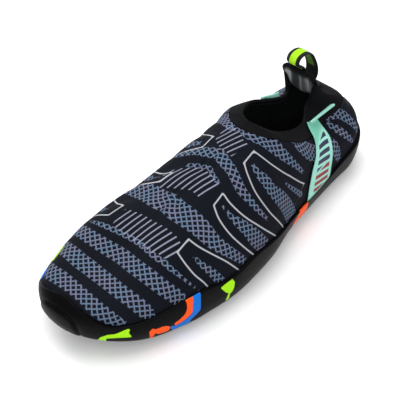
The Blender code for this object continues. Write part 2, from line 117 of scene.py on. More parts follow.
# The collar's rim from the middle of the heel tab (q = 0) to the throat. "across" is a share of
# OPENING_HALF_WIDTH from the centre line, "along" a share of LENGTH from the heel, tab and throat
# are shares of TAB_RISE and THROAT_RISE, inner is what the inner side stands higher, as a share of
# THROAT_RISE, lean is the wall's lean from upright in degrees, and band is the black collar's depth
# below the rim as a share of COLLAR_HEIGHT.
RIM = {
    "q": (0.000, 0.050, 0.100, 0.140, 0.190, 0.235, 0.285, 0.345, 0.390, THROAT_Q),
    "across": (0.00, 0.48, 0.74, 0.62, 0.50, 0.70, 0.89, 0.95, 0.65, 0.00),
    "along": (0.178, 0.179, 0.181, 0.183, 0.188, 0.212, 0.243, 0.295, 0.360, THROAT),
    "tab": (0.95, 0.97, 0.90, 0.55, 0.17, 0.05, 0.02, 0.00, 0.00, 0.00),
    "throat": (0.00, 0.00, 0.00, 0.00, 0.00, 0.02, 0.08, 0.33, 0.66, 1.00),
    "inner": (0.00, 0.00, 0.00, 0.00, 0.00, 0.05, 0.14, 0.24, 0.16, 0.00),
    "lean": (18, 19, 20, 21, 24, 26, 30, 49, 76, 84),
    "band": (0.98, 0.92, 0.80, 0.62, 0.38, 0.27, 0.20, 0.18, 0.17, 0.17),
}

# The pull loop's free arc behind the tab's top edge: back is a share of LOOP_REACH, up of LOOP_RISE.
LOOP = {
    "back": (0.00, -0.25, -0.42, -0.34, 0.00, 0.40, 0.72, 0.90),
    "up": (0.15, 0.40, 0.68, 0.93, 1.00, 0.74, 0.10, -0.85),
}

# The edges of a side strap: up is the share of the rib, front and back are shares of LENGTH from the
# heel.
STRAP = {
    "up": (0.00, 0.20, 0.40, 0.60, 0.80, 1.00),
    "front": (0.325, 0.318, 0.302, 0.268, 0.241, 0.236),
    "back": (0.212, 0.206, 0.195, 0.184, 0.182, 0.182),
}

# The folds lie below the rim: the top and the dip down the rib of the outer one, and for the inner one
# its place up the rib, how far it starts ahead of the strap, its share of the length, how far it lies
# off the knit and below the rim, and its lean outward.
FOLD_TOP = 0.97
FOLD_DIP = 0.22
INNER_TOP = 0.985
INNER_START = -0.0025
INNER_SHARE = 0.5
INNER_OFF = 0.0014
INNER_DIP = 0.0015
INNER_LEAN = 0.30

# How finely each half of the ring is cut, from the heel to the toe.
HEEL_CUTS = 9
HEEL_CUTS_END = 0.20
SIDE_CUTS = 4
SIDE_CUTS_END = 0.34
RIM_CUTS = 7
THROAT_CUTS = 3
FRONT_CUTS = 13
PANEL_CUTS = 3
ACROSS_CUTS = 6


def smooth_through(knots, values, x, flat_ends=False):
    """A monotone cubic through the knots, whose ends run level or along the last chord."""
    knots, values = np.asarray(knots, float), np.asarray(values, float)
    widths = np.diff(knots)
    chords = np.diff(values) / widths
    slopes = np.zeros(len(knots))
    left, right = chords[:-1], chords[1:]
    same_way = left * right > 0
    total = np.where(same_way, left + right, 1.0)
    slopes[1:-1] = np.where(same_way, 2.0 * left * right / total, 0.0)
    if not flat_ends:
        slopes[0], slopes[-1] = chords[0], chords[-1]
    x = np.asarray(x, float)
    k = np.clip(np.searchsorted(knots, x) - 1, 0, len(knots) - 2)
    w = (x - knots[k]) / widths[k]
    return ((1 + 2 * w) * (1 - w) ** 2 * values[k] + w * (1 - w) ** 2 * widths[k] * slopes[k]
            + w * w * (3 - 2 * w) * values[k + 1] - w * w * (1 - w) * widths[k] * slopes[k + 1])


def section(name, s):
    return smooth_through(SECTIONS["at"], SECTIONS[name], s)


def rim(name, q, flat_ends=True):
    return smooth_through(RIM["q"], RIM[name], np.minimum(q, THROAT_Q), flat_ends)


def rounding(distance, radius):
    """The half width near a rounded end, as a share of the full one."""
    u = np.clip(1 - distance / radius, 0, 1)
    return (1 - u ** 2.1) ** (1 / 2.1)


def ring(t):
    """The share of the way from heel to toe, and the side: +1 outer, -1 inner."""
    t = np.asarray(t, float) % 1.0
    return 1 - np.abs(1 - 2 * t), np.where(t <= 0.5, 1.0, -1.0)


def outline(t):
    """The widest line of the upper in plan: x, y and the station it lies at."""
    q, side = ring(t)
    s = (1 - np.cos(np.pi * q)) / 2
    cap = rounding(s, HEEL_ROUND) * rounding(1 - s, TOE_ROUND)
    x = BALL_WIDTH * (section("swing", s) + side * section("half", s) * cap)
    return x, LENGTH * (0.5 - s), s


def plan_inward(t):
    """The level direction inward, square to the outline."""
    step = 0.002
    ahead, behind = outline(t + step), outline(t - step)
    dx, dy = ahead[0] - behind[0], ahead[1] - behind[1]
    size = np.hypot(dx, dy)
    return np.stack([dy / size, -dx / size, 0 * dx], -1)


def underside(s):
    return TOE_SPRING * section("spring", s) + ARCH_RISE * section("arch", s)


def bed(s):
    return underside(s) + SOLE_THICKNESS


def throat_height():
    return COLLAR_HEIGHT + THROAT_RISE


def ridge_z(s):
    return bed(s) + throat_height() * section("crest", s)


def top_of_rib(t):
    """The rim's point behind the throat and the ridge's point in front of it, and the wall's lean."""
    q, side = ring(t)
    w = np.clip((q - THROAT_Q) / (1 - THROAT_Q), 0, 1)
    onward = 0.35 * w * w * (3 - 2 * w) + 0.65 * np.sin(np.pi * w / 2)
    s = np.where(q < THROAT_Q, rim("along", q), THROAT + (RIDGE_FRONT - THROAT) * onward)
    across = OPENING_HALF_WIDTH * np.where(q < THROAT_Q, rim("across", q, False), 0.0)
    x = BALL_WIDTH * section("swing", s) + side * across
    risen = rim("throat", q) + np.where(side < 0, rim("inner", q), 0.0)
    rim_z = bed(s) + COLLAR_HEIGHT + TAB_RISE * rim("tab", q) + THROAT_RISE * risen
    z = np.where(q < THROAT_Q, rim_z, ridge_z(s))
    step = 0.001
    slope = (ridge_z(s + step) - ridge_z(s - step)) / (2 * step * LENGTH)
    slope = np.where(q < THROAT_Q, 0.0, slope)
    lean = np.radians(rim("lean", q) + (90 - RIM["lean"][-1]) * np.clip(w / 0.08, 0, 1))
    return np.stack([x, LENGTH * (0.5 - s), z], -1), slope, lean


def bezier(points, w):
    a, b, c, d = points
    w = w[..., None]
    return (1 - w) ** 3 * a + 3 * w * (1 - w) ** 2 * b + 3 * w * w * (1 - w) * c + w ** 3 * d


def face(t, v):
    """The outer face of the upper."""
    t, v = np.broadcast_arrays(np.asarray(t, float), np.asarray(v, float))
    x, y, s = outline(t)
    top, slope, lean = top_of_rib(t)
    inward = top[..., :2] - np.stack([x, y], -1)
    reach = np.hypot(inward[..., 0], inward[..., 1])
    inward = np.concatenate([inward / reach[..., None], np.zeros(reach.shape + (1,))], -1)
    up = np.array([0.0, 0.0, 1.0])
    low_z = bed(s)
    wide_z = low_z + throat_height() * section("belly", s)
    wide = np.stack([x, y, wide_z], -1)
    inset = plan_inward(t) * TUCK
    feather = np.stack([x, y, low_z], -1) + inset
    rise = top[..., 2] - wide_z
    chord = np.hypot(reach, rise)
    down = -inward * np.sin(lean)[..., None]
    down[..., 2] = -np.cos(lean) + np.sin(lean) * slope * inward[..., 1]
    above = [wide, wide + up * (0.40 * chord)[..., None], top + down * (0.42 * chord)[..., None], top]
    below = [feather, feather - inset * 0.8, wide - up * (0.55 * (wide_z - low_z))[..., None], wide]
    low = bezier(below, np.clip(v / FEATHER_V, 0, 1))
    high = bezier(above, np.clip((v - FEATHER_V) / (1 - FEATHER_V), 0, 1))
    return np.where((v < FEATHER_V)[..., None], low, high)


def normal(t, v):
    """The outward normal of the face. On the ridge the two sides' normals are averaged."""
    t, v = np.broadcast_arrays(np.asarray(t, float), np.asarray(v, float))

    def raw(t):
        step = 0.0008
        at = np.minimum(v, 0.996)
        along = face(t + step, at) - face(t - step, at)
        upward = face(t, at + step) - face(t, np.maximum(at - step, 0))
        across = np.cross(upward, along)
        return across / np.linalg.norm(across, axis=-1, keepdims=True)

    q, _ = ring(t)
    on_ridge = (v > 0.9999) & (q >= THROAT_Q - 1e-9)
    both = raw(t) + raw(1 - t)
    both = both / np.linalg.norm(both, axis=-1, keepdims=True)
    return np.where(on_ridge[..., None], both, raw(t))


def lifted(t, v, lift):
    lift = np.broadcast_to(np.asarray(lift, float), np.broadcast(t, v).shape)
    return face(t, v) + normal(t, v) * lift[..., None]


def invert(t, measure, target):
    """The v on each rib at which a rising measure of the rib reaches its target."""
    vs = np.linspace(0.0, 1.0, 161)
    out = []
    for turn, goal in zip(t, np.broadcast_to(target, np.shape(t))):
        out.append(np.interp(goal, measure(turn, vs), vs))
    return np.array(out)


def rib_length_from_top(turn, vs):
    points = face(turn, vs)
    steps = np.linalg.norm(np.diff(points, axis=0), axis=-1)
    run = np.concatenate([[0.0], np.cumsum(steps)])
    return run - run[-1]


def seam_v(t, clearance):
    """Where the black collar starts on each rib, moved away from the rim by a clearance.

    Its depth is measured down the rib at the heel, and square to the rim along the side and throat.
    """
    q, _ = ring(t)
    depth = COLLAR_HEIGHT * rim("band", q) + clearance
    half = np.linspace(RIM["q"][4], THROAT_Q, 60) / 2
    line = face(np.concatenate([half, 1 - half[::-1]]), 1.0)

    def nearness(turn, vs):
        away = np.linalg.norm(face(turn, vs)[:, None] - line[None], axis=-1)
        return -away.min(axis=1)

    down_rib = invert(t, rib_length_from_top, -depth)
    square = invert(t, nearness, -depth)
    share = smooth_through((RIM["q"][4], RIM["q"][5]), (0.0, 1.0), np.clip(q, RIM["q"][4], RIM["q"][5]), True)
    return down_rib + (square - down_rib) * share


def seam_or_ridge(t, clearance):
    """The top of the upper, and the foot of the collar, on each rib."""
    q, _ = ring(t)
    return np.where(q >= seam_front(clearance) - 1e-9, 1.0, np.minimum(seam_v(t, clearance), 1.0))


def seam_front(clearance):
    """The q at which the collar's seam crosses the ridge in front of the throat."""
    qs = np.linspace(THROAT_Q, THROAT_Q + 0.2, 200)
    away = np.linalg.norm(face(qs / 2, 1.0) - face(THROAT_Q / 2, 1.0), axis=-1)
    return float(np.interp(COLLAR_HEIGHT * rim("band", THROAT_Q) + clearance, away, qs))


def wrap_v(t):
    """Where the rubber's upper edge lies on each rib."""
    s = outline(t)[2]
    return invert(t, lambda turn, vs: face(turn, vs)[..., 2], bed(s) + COLLAR_HEIGHT * section("wrap", s))


def panel_q(offset):
    """The q near the toe at which the outline is a given distance out from the toe's middle."""
    qs = np.linspace(1.0, 0.8, 200)
    return float(np.interp(offset, outline(qs / 2)[0] - outline(0.5)[0], qs))


def ring_turns(clearance):
    """The ribs' turns round the shoe, closer together at the tab, at the throat and at the panel."""
    front = seam_front(clearance)
    fan = np.sin(np.pi / 2 * np.arange(THROAT_CUTS) / THROAT_CUTS)
    panel = [panel_q(PANEL_HALF_WIDTH + PANEL_STEP), panel_q(PANEL_HALF_WIDTH)]
    q = np.concatenate([
        np.linspace(0.0, HEEL_CUTS_END, HEEL_CUTS, endpoint=False),
        np.linspace(HEEL_CUTS_END, SIDE_CUTS_END, SIDE_CUTS, endpoint=False),
        np.linspace(SIDE_CUTS_END, THROAT_Q, RIM_CUTS, endpoint=False),
        THROAT_Q + (front - THROAT_Q) * fan,
        np.linspace(front, panel[0], FRONT_CUTS, endpoint=False),
        panel, np.linspace(panel[1], 1.0, PANEL_CUTS + 1)[1:]])
    half = q[1:-1] / 2
    return np.concatenate([[0.0], half, [0.5], 1 - half[::-1]])


# Soft hollows at the back: depth, reach round the heel, place up the rib and half height.
NECK_HOLLOW = (0.0090, 0.13, 0.78, 0.13)
HEEL_HOLLOW = (0.0042, 0.30, 0.41, 0.12)
# The tab's top corners are rounded off: how far down, place round the heel and half width.
TAB_ROUND = (0.0026, 0.092, 0.026)

# How many fine ribs stand between two ribs of the plain form, and how finely the skins are cut.
FINE = 5
KNIT_ROWS = 104
LINING_ROWS = 26
TUCKED_ROWS = 8
BAND_ROWS = 22
SOLE_ROWS = 44
STRAP_ROWS = 60
STRAP_COLUMNS = 15
LOOP_COLUMNS = 13

# The height of the knit and of the collar that the fine yarn's map is laid out with, in metres.
KNIT_HEIGHT = 0.10
COLLAR_MAP_HEIGHT = 0.08

# The painted sheen on the satin lining: how far round the heel its painted highlight streaks show, and the
# share of the rib they fade in from and over.
SHEEN_REACH = 0.17
SHEEN_FADE = 0.42

# The printed net: a diamond along and across its band, and the stripes' pitch, in millimetres. The
# stripes lean outward by a share of the way back.
NET_ALONG = 4.7
NET_ACROSS = 4.3
STRIPE_PITCH = 3.9
STRIPE_SLANT = 0.36

# What the printed values say far from any print: millimetres inside a band, and off a wedge's line.
FAR_INSIDE = -20.0
FAR_LINE = 6.0

# The printed bars of a strap, in millimetres: pitch, slant over the width, and the stretches that the
# red and the navy bars fill.
BAR_PITCH = 5.2
BAR_SLANT = 9.0
RED_BARS = (5.0, 21.0)
NAVY_BARS = (22.5, 41.5)

# The moulded toe panel's outline in millimetres: the run round the toe from its middle, and the height.
PANEL_OUTLINE = ((-15, 2), (-15, 22), (-13, 29), (-8, 32.5), (0, 33.5),
                 (8, 32.5), (13, 29), (15, 22), (15, 2))
PANEL_SLOPE = 1.2
PANEL_GROOVE = 0.0007

# The tread's thickness over its blocks, and the foot bed's cupped edge.
TREAD_THICKNESS = 0.0035
BED_CUP = 0.0008

# The picture: the camera's turn round the shoe and its height in degrees, its distance, the lens in
# pixels of a 400 pixel frame, the frame's shift, and how much closer this picture is cropped.
CAMERA_TURN = 40.5
CAMERA_HEIGHT = 44.24
CAMERA_DISTANCE = 0.826
LENS_PIXELS = 966.0
FRAME_PIXELS = 400
SENSOR_WIDTH = 36.0
FRAME_SHIFT = -0.0275
ZOOM = 1.3
MIDDLE = (0.0, 0.0, 0.03)

# The softboxes: place, size and power.
SOFTBOXES = {
    "high_softbox": ((-0.15, 0.10, 1.15), 0.8, 8.0),
    "front_softbox": ((0.75, -0.75, 0.75), 0.6, 4.0),
    "left_softbox": ((-1.0, 0.20, 0.60), 0.5, 6.0),
}
DAYLIGHT = 0.95

# Bands of printed net: turn, rib and half width in millimetres. The toe's bands cross the ridge. The
# instep's run from the ridge down the outer side, and the inner side is their mirror image.
TOE_NETS = (
    ((0.590, 0.28, 4.0), (0.567, 0.43, 5.0), (0.541, 0.59, 5.2), (0.498, 0.675, 4.7), (0.462, 0.575, 4.6),
     (0.441, 0.425, 4.8), (0.424, 0.306, 4.2), (0.412, 0.263, 1.7)),
    ((0.632, 0.26, 4.2), (0.617, 0.375, 4.8), (0.581, 0.675, 5.3), (0.551, 0.856, 5.4), (0.445, 0.825, 5.2),
     (0.418, 0.631, 5.0), (0.402, 0.488, 4.8), (0.3875, 0.331, 4.5), (0.382, 0.27, 2.0)),
    ((0.652, 0.28, 4.2), (0.638, 0.425, 4.5), (0.613, 0.688, 4.7), (0.595, 0.856, 5.0), (0.414, 0.938, 5.2),
     (0.396, 0.775, 5.2), (0.380, 0.613, 5.2), (0.3675, 0.475, 5.0), (0.354, 0.338, 4.7), (0.350, 0.27, 4.0)),
    ((0.640, 0.56, 1.0), (0.630, 0.694, 1.7), (0.6217, 0.80, 1.8), (0.6133, 0.90, 1.8), (0.3908, 0.95, 1.9),
     (0.3817, 0.863, 1.9), (0.3733, 0.763, 2.0), (0.3675, 0.70, 2.0), (0.3617, 0.644, 2.0),
     (0.3575, 0.588, 1.8), (0.3508, 0.513, 1.4), (0.3433, 0.425, 1.0), (0.3333, 0.312, 0.7)),
)
INSTEP_NETS = (
    ((0.343, 1.0, 7.4), (0.338, 0.925, 7.4), (0.329, 0.825, 7.1), (0.320, 0.706, 6.3), (0.312, 0.575, 5.0),
     (0.301, 0.450, 3.8), (0.286, 0.288, 2.6)),
    ((0.2755, 1.0, 4.2), (0.2750, 0.938, 4.0), (0.2733, 0.863, 3.6), (0.2733, 0.788, 3.4),
     (0.2725, 0.706, 3.3), (0.2675, 0.600, 2.6), (0.2617, 0.500, 1.9), (0.2533, 0.381, 0.9)),
    ((0.2283, 1.0, 5.4), (0.2283, 0.925, 6.0), (0.2225, 0.844, 5.8), (0.2175, 0.744, 5.4),
     (0.2125, 0.656, 3.9), (0.2067, 0.581, 2.7), (0.1967, 0.450, 1.2)),
    ((0.291, 0.982, 1.6), (0.2917, 0.95, 1.6), (0.290, 0.869, 1.6)),
)
SIDE_NETS = (
    ((0.3333, 0.575, 0.9), (0.3275, 0.488, 1.9), (0.3183, 0.375, 2.8), (0.3092, 0.24, 3.4)),
    ((0.2942, 0.725, 0.9), (0.2908, 0.644, 1.7), (0.2850, 0.562, 3.2), (0.2775, 0.463, 4.4),
     (0.2708, 0.363, 5.4), (0.2617, 0.24, 5.2)),
    ((0.2508, 0.781, 1.4), (0.2500, 0.706, 2.8), (0.2458, 0.631, 4.0), (0.2417, 0.531, 4.4),
     (0.2342, 0.431, 5.4), (0.2250, 0.288, 6.0), (0.2150, 0.12, 6.2)),
    ((0.1890, 0.930, 2.4), (0.1870, 0.880, 4.4), (0.1850, 0.800, 6.2), (0.1783, 0.675, 6.4),
     (0.165, 0.55, 5.0)),
    ((0.2217, 0.463, 0.8), (0.2167, 0.400, 1.4), (0.2008, 0.231, 2.1)),
    ((0.100, 0.740, 1.8), (0.0900, 0.690, 2.8), (0.0825, 0.594, 3.4), (0.0833, 0.500, 3.8),
     (0.0858, 0.400, 3.8), (0.0875, 0.300, 3.2), (0.085, 0.20, 2.0)),
    ((0.1067, 0.680, 1.9), (0.1117, 0.588, 2.8), (0.1117, 0.513, 3.1), (0.1133, 0.400, 3.0),
     (0.1108, 0.269, 2.2), (0.104, 0.19, 1.1)),
    ((0.1358, 0.520, 3.0), (0.1375, 0.380, 4.2), (0.1375, 0.280, 4.0), (0.1325, 0.17, 2.4)),
)

# Groups of printed stripes, which run along the shoe: turn, rib and half length in millimetres.
STRIPES = (
    ((0.6375, 0.794, 6.8), (0.6283, 0.888, 8.1), (0.6208, 0.969, 8.4), (0.3758, 0.938, 8.6),
     (0.3675, 0.863, 8.8), (0.3592, 0.775, 9.2), (0.3558, 0.725, 8.3), (0.3567, 0.669, 4.6)),
    ((0.6925, 0.800, 7.6), (0.6925, 0.869, 8.1), (0.6917, 0.956, 8.6), (0.3075, 0.988, 8.3),
     (0.3033, 0.919, 8.0), (0.3008, 0.863, 7.6)),
    ((0.7533, 0.900, 7.0), (0.7533, 0.931, 8.0), (0.7483, 0.981, 8.5), (0.2558, 0.988, 7.8),
     (0.2550, 0.950, 7.4), (0.2542, 0.919, 7.4)),
)

# The outlined wedges on the outer side: the back arm from the rubber up to its corner, then the front
# arm from its corner down. The inner side's are the same, a little further forward and higher up.
WEDGES = (
    (((0.283, 0.14), (0.2908, 0.238), (0.3033, 0.381), (0.3167, 0.513), (0.3267, 0.613), (0.3342, 0.700)),
     ((0.3475, 0.663), (0.3425, 0.562), (0.3358, 0.450), (0.3283, 0.356), (0.3225, 0.269), (0.315, 0.15))),
    (((0.236, 0.10), (0.2442, 0.194), (0.2625, 0.388), (0.2775, 0.556), (0.2867, 0.700), (0.2900, 0.794)),
     ((0.3025, 0.775), (0.3017, 0.675), (0.2958, 0.544), (0.2858, 0.400), (0.2742, 0.256), (0.264, 0.14))),
    (((0.1958, 0.319), (0.2142, 0.481), (0.2292, 0.644), (0.2367, 0.750), (0.2417, 0.838)),
     ((0.2583, 0.831), (0.2608, 0.744), (0.2600, 0.619), (0.2517, 0.444), (0.2408, 0.294),
      (0.2267, 0.106))),
)
INNER_FORWARD = 0.010
INNER_UP = 0.03

# Soft creases in the knit: turn and rib of the line, then its depth and half width in millimetres.
CREASES = (
    ((0.690, 0.42, 0.0, 4), (0.698, 0.60, 1.5, 5), (0.708, 0.80, 1.9, 5), (0.290, 0.97, 0.9, 5),
     (0.286, 0.86, 0.0, 5)),
    ((0.650, 0.36, 0.0, 4), (0.664, 0.58, 1.3, 5), (0.674, 0.80, 1.5, 6), (0.325, 0.97, 0.5, 6),
     (0.322, 0.88, 0.0, 5)),
    ((0.765, 0.45, 0.0, 4), (0.760, 0.68, 1.4, 5), (0.757, 0.86, 1.2, 5), (0.752, 0.97, 0.0, 5)),
    ((0.728, 0.45, 0.0, 3), (0.732, 0.66, 0.9, 3), (0.735, 0.86, 0.7, 4), (0.737, 0.97, 0.0, 4)),
    ((0.235, 0.62, 0.0, 4), (0.215, 0.50, 0.7, 5), (0.200, 0.36, 0.9, 6), (0.190, 0.25, 0.0, 5)),
    ((0.110, 0.45, 0.0, 5), (0.090, 0.52, 0.8, 6), (0.060, 0.55, 0.7, 6), (0.030, 0.50, 0.0, 5)),
)

# Colour splashes on the rubber's side: turn, and height over the floor in millimetres.
SPLASHES = {
    "lime": (
        ((0.4487, 9), (0.4420, 15), (0.4394, 18), (0.4313, 21), (0.4225, 21.5), (0.4138, 24), (0.4062, 25.5),
         (0.4085, 21), (0.4050, 16), (0.4213, 17), (0.4331, 16.5), (0.4345, 9)),
        ((0.3137, 24.5), (0.3088, 25.5), (0.3019, 26), (0.2994, 22), (0.3000, 17), (0.3030, 12),
         (0.3038, 5), (0.3072, 8), (0.3056, 15), (0.3088, 18)),
        ((0.6330, 30), (0.6200, 28), (0.6069, 27), (0.6069, 25), (0.6200, 26), (0.6330, 28)),
    ),
    "orange": (
        ((0.3855, 6), (0.3875, 17), (0.3837, 19.5), (0.3800, 17), (0.3750, 17.5), (0.3688, 16),
         (0.3645, 13), (0.3656, 9), (0.3706, 9), (0.3769, 10), (0.3800, 13.5), (0.3819, 11), (0.3825, 5)),
        ((0.3488, 31), (0.3405, 33), (0.3419, 23), (0.3425, 17), (0.3481, 14), (0.3550, 12), (0.3605, 11.5),
         (0.3606, 15), (0.3556, 16), (0.3494, 19), (0.3475, 23), (0.3475, 27)),
        ((0.2150, 13), (0.2062, 20), (0.1920, 22), (0.1900, 6), (0.2025, 7), (0.2130, 9)),
    ),
    "blue": (
        ((0.3650, 13.5), (0.3613, 13), (0.3575, 6), (0.3613, 5)),
        ((0.3405, 33), (0.3335, 33), (0.3338, 28), (0.3344, 16), (0.3381, 13), (0.3431, 10), (0.3438, 6),
         (0.3513, 5), (0.3590, 4), (0.3605, 11), (0.3550, 11.5), (0.3481, 13.5), (0.3425, 16.5),
         (0.3419, 23)),
        ((0.575, 32), (0.590, 34), (0.594, 26), (0.588, 20), (0.572, 24)),
    ),
}


def fine_turns(turns):
    """The form's ribs with FINE steps between each two."""
    closed = np.append(turns, 1.0)
    steps = np.arange(FINE) / FINE
    return (closed[:-1, None] + np.diff(closed)[:, None] * steps).ravel()


def hollow(q, v, depth, reach, place, height):
    """How deep a soft hollow round the back of the heel is, in metres."""
    round_the_back = 0.5 + 0.5 * np.cos(np.pi * np.minimum(q / reach, 1))
    return depth * round_the_back * np.exp(-((v - place) / height) ** 2)


def skin(t, v, lift):
    """Points of the knit or the collar, drawn in under the tab and over the heel."""
    q = np.broadcast_to(ring(t)[0], np.broadcast(t, v).shape)
    points = lifted(t, v, lift - hollow(q, v, *HEEL_HOLLOW))
    points[..., 1] -= hollow(q, v, *NECK_HOLLOW)
    down, place, wide = TAB_ROUND
    points[..., 2] -= down * np.exp(-((q - place) / wide) ** 2) * np.clip((v - 0.75) / 0.25, 0, 1) ** 2
    return points


def smooth(table, cuts=14):
    """Rows between the rows of a table, on a smooth curve through them."""
    ends = np.vstack([2 * table[0] - table[1], table, 2 * table[-1] - table[-2]])
    w = np.linspace(0, 1, cuts, endpoint=False)[:, None]
    pieces = [0.5 * (2 * b + (c - a) * w + (2 * a - 5 * b + 4 * c - d) * w ** 2
                     + (3 * b - a - 3 * c + d) * w ** 3)
              for a, b, c, d in zip(ends, ends[1:], ends[2:], ends[3:])]
    return np.vstack(pieces + [table[-1:]])


def smooth_line(knots):
    """Points along a smooth line on the knit through (turn, rib, ...) knots, with their other columns."""
    knots = np.array(knots, float)
    return smooth(np.column_stack([face(knots[:, 0], knots[:, 1]), knots[:, 2:]]))


def beside(points, normals, line, reach):
    """The points near a line on the knit: which they are, how far along it and to its left each one is,
    its distance, its nearest row, and the line's length."""
    places = line[:, :3]
    near = np.flatnonzero(np.all((points > places.min(0) - reach) & (points < places.max(0) + reach), axis=1))
    along = np.gradient(places, axis=0)
    along /= np.linalg.norm(along, axis=1, keepdims=True)
    run = np.concatenate([[0.0], np.cumsum(np.linalg.norm(np.diff(places, axis=0), axis=1))])
    row = np.concatenate([np.linalg.norm(points[part][:, None] - places[None], axis=-1).argmin(1)
                          for part in np.array_split(near, 12)])
    off = points[near] - places[row]
    ahead = (off * along[row]).sum(1)
    across = (off * np.cross(normals[near], along[row])).sum(1)
    far = np.hypot(across, np.maximum(np.abs(ahead) - 0.0006, 0))
    return near, run[row] + ahead, across, far, row, run[-1]


def other_side(knots, forward=0.0, up=0.0):
    """The same line on the inner side of the shoe."""
    return tuple((1 - knot[0] - forward, min(knot[1] + up, 1.0)) + tuple(knot[2:]) for knot in knots)


def both_sides(knots):
    return other_side(knots)[:0:-1] + tuple(knots)


def printed_bands(points, normals, bands):
    """For each point: millimetres along the nearest band and across it, and how far inside it lies."""
    out = np.tile(np.array([0.0, 0.0, FAR_INSIDE]), (len(points), 1))
    for knots in bands:
        line = smooth_line(knots)
        near, along, across, _, row, length = beside(points, normals, line, 0.010)
        along, across, length = along * 1000, across * 1000, length * 1000
        inside = np.minimum(line[row, 3] - np.abs(across), np.minimum(along, length - along) + 1.0)
        better = inside > out[near, 2]
        out[near[better]] = np.column_stack([along - length / 2, across, inside])[better]
    return out


def printed_wedges(points, normals, turn, rib):
    """Signed millimetres from the nearest wedge's outline, below zero inside the wedge."""
    out = np.full(len(points), FAR_LINE)
    inner = tuple(tuple(other_side(arm, INNER_FORWARD, INNER_UP) for arm in arms) for arms in WEDGES)
    for arms in WEDGES + inner:
        back, front = (smooth(np.array(arm, float)) for arm in arms)
        share = np.linspace(0, 1, 12)[1:-1, None]
        corners = np.vstack([back, back[-1] * (1 - share) + front[0] * share, front])
        near, _, _, far, _, _ = beside(points, normals, face(corners[:, 0], corners[:, 1]), 0.008)
        within = (inside_shape(corners, turn[near], rib[near]) > 0).astype(float)
        signed = (1 - 2 * within) * np.minimum(far * 1000, FAR_LINE)
        closer = np.abs(signed) < np.abs(out[near]) + within * 1e-6
        out[near] = np.where(closer, signed, out[near])
    return out


def creased(points, normals):
    """How far the knit sinks in its soft creases, in metres."""
    sunk = np.zeros(len(points))
    for knots in CREASES:
        line = smooth_line(knots)
        near, _, across, _, row, _ = beside(points, normals, line, 0.014)
        sunk[near] += line[row, 3] * 0.001 * np.exp(-(across * 1000 / line[row, 4]) ** 2)
    return sunk


def inside_shape(corners, x, y):
    """Signed distance of points from a closed shape, above zero inside it."""
    corners = np.array(corners, float)
    ahead = np.roll(corners, -1, axis=0)
    gap = np.full(x.shape, 1e9)
    within = np.zeros(x.shape, bool)
    for (ax, ay), (bx, by) in zip(corners, ahead):
        dx, dy = bx - ax, by - ay
        w = np.clip(((x - ax) * dx + (y - ay) * dy) / (dx * dx + dy * dy), 0, 1)
        gap = np.minimum(gap, np.hypot(x - ax - w * dx, y - ay - w * dy))
        if by != ay:
            crosses = ((ay > y) != (by > y)) & (x < ax + dx * (y - ay) / dy)
            within ^= crosses
    return np.where(within, gap, -gap)


def outline_run(t):
    """Millimetres round the outline from the heel."""
    turns = np.linspace(0, 1, 2001)
    x, y, _ = outline(turns)
    run = np.concatenate([[0.0], np.cumsum(np.hypot(np.diff(x), np.diff(y)))]) * 1000
    return np.interp(t, turns, run)


class Wire:
    """A value in a material's nodes. Python's operators on it add the Math nodes."""

    def __init__(self, finish, socket):
        self.finish = finish
        self.socket = socket

    def maths(self, operation, *others):
        return self.finish.node("ShaderNodeMath", {"operation": operation}, dict(enumerate((self,) + others)))

    def __add__(self, other):
        return self.maths("ADD", other)

    def __sub__(self, other):
        return self.maths("SUBTRACT", other)

    def __rsub__(self, other):
        return self.finish.node("ShaderNodeMath", {"operation": "SUBTRACT"}, {0: other, 1: self})

    def __mul__(self, other):
        return self.maths("MULTIPLY", other)

    def __truediv__(self, other):
        return self.maths("DIVIDE", other)

    __radd__ = __add__
    __rmul__ = __mul__

    def size(self):
        return self.maths("ABSOLUTE")

    def least(self, other):
        return self.maths("MINIMUM", other)

    def most(self, other):
        return self.maths("MAXIMUM", other)

    def fold(self, pitch):
        """0 on each line of a pitch, and 0.5 half way between two."""
        return (self / pitch).maths("PINGPONG", 0.5)

    def rise(self, low, high):
        """0 below low, 1 above high and smooth between them."""
        return self.finish.node("ShaderNodeMapRange", {"interpolation_type": "SMOOTHSTEP"},
                                {"Value": self, "From Min": low, "From Max": high})


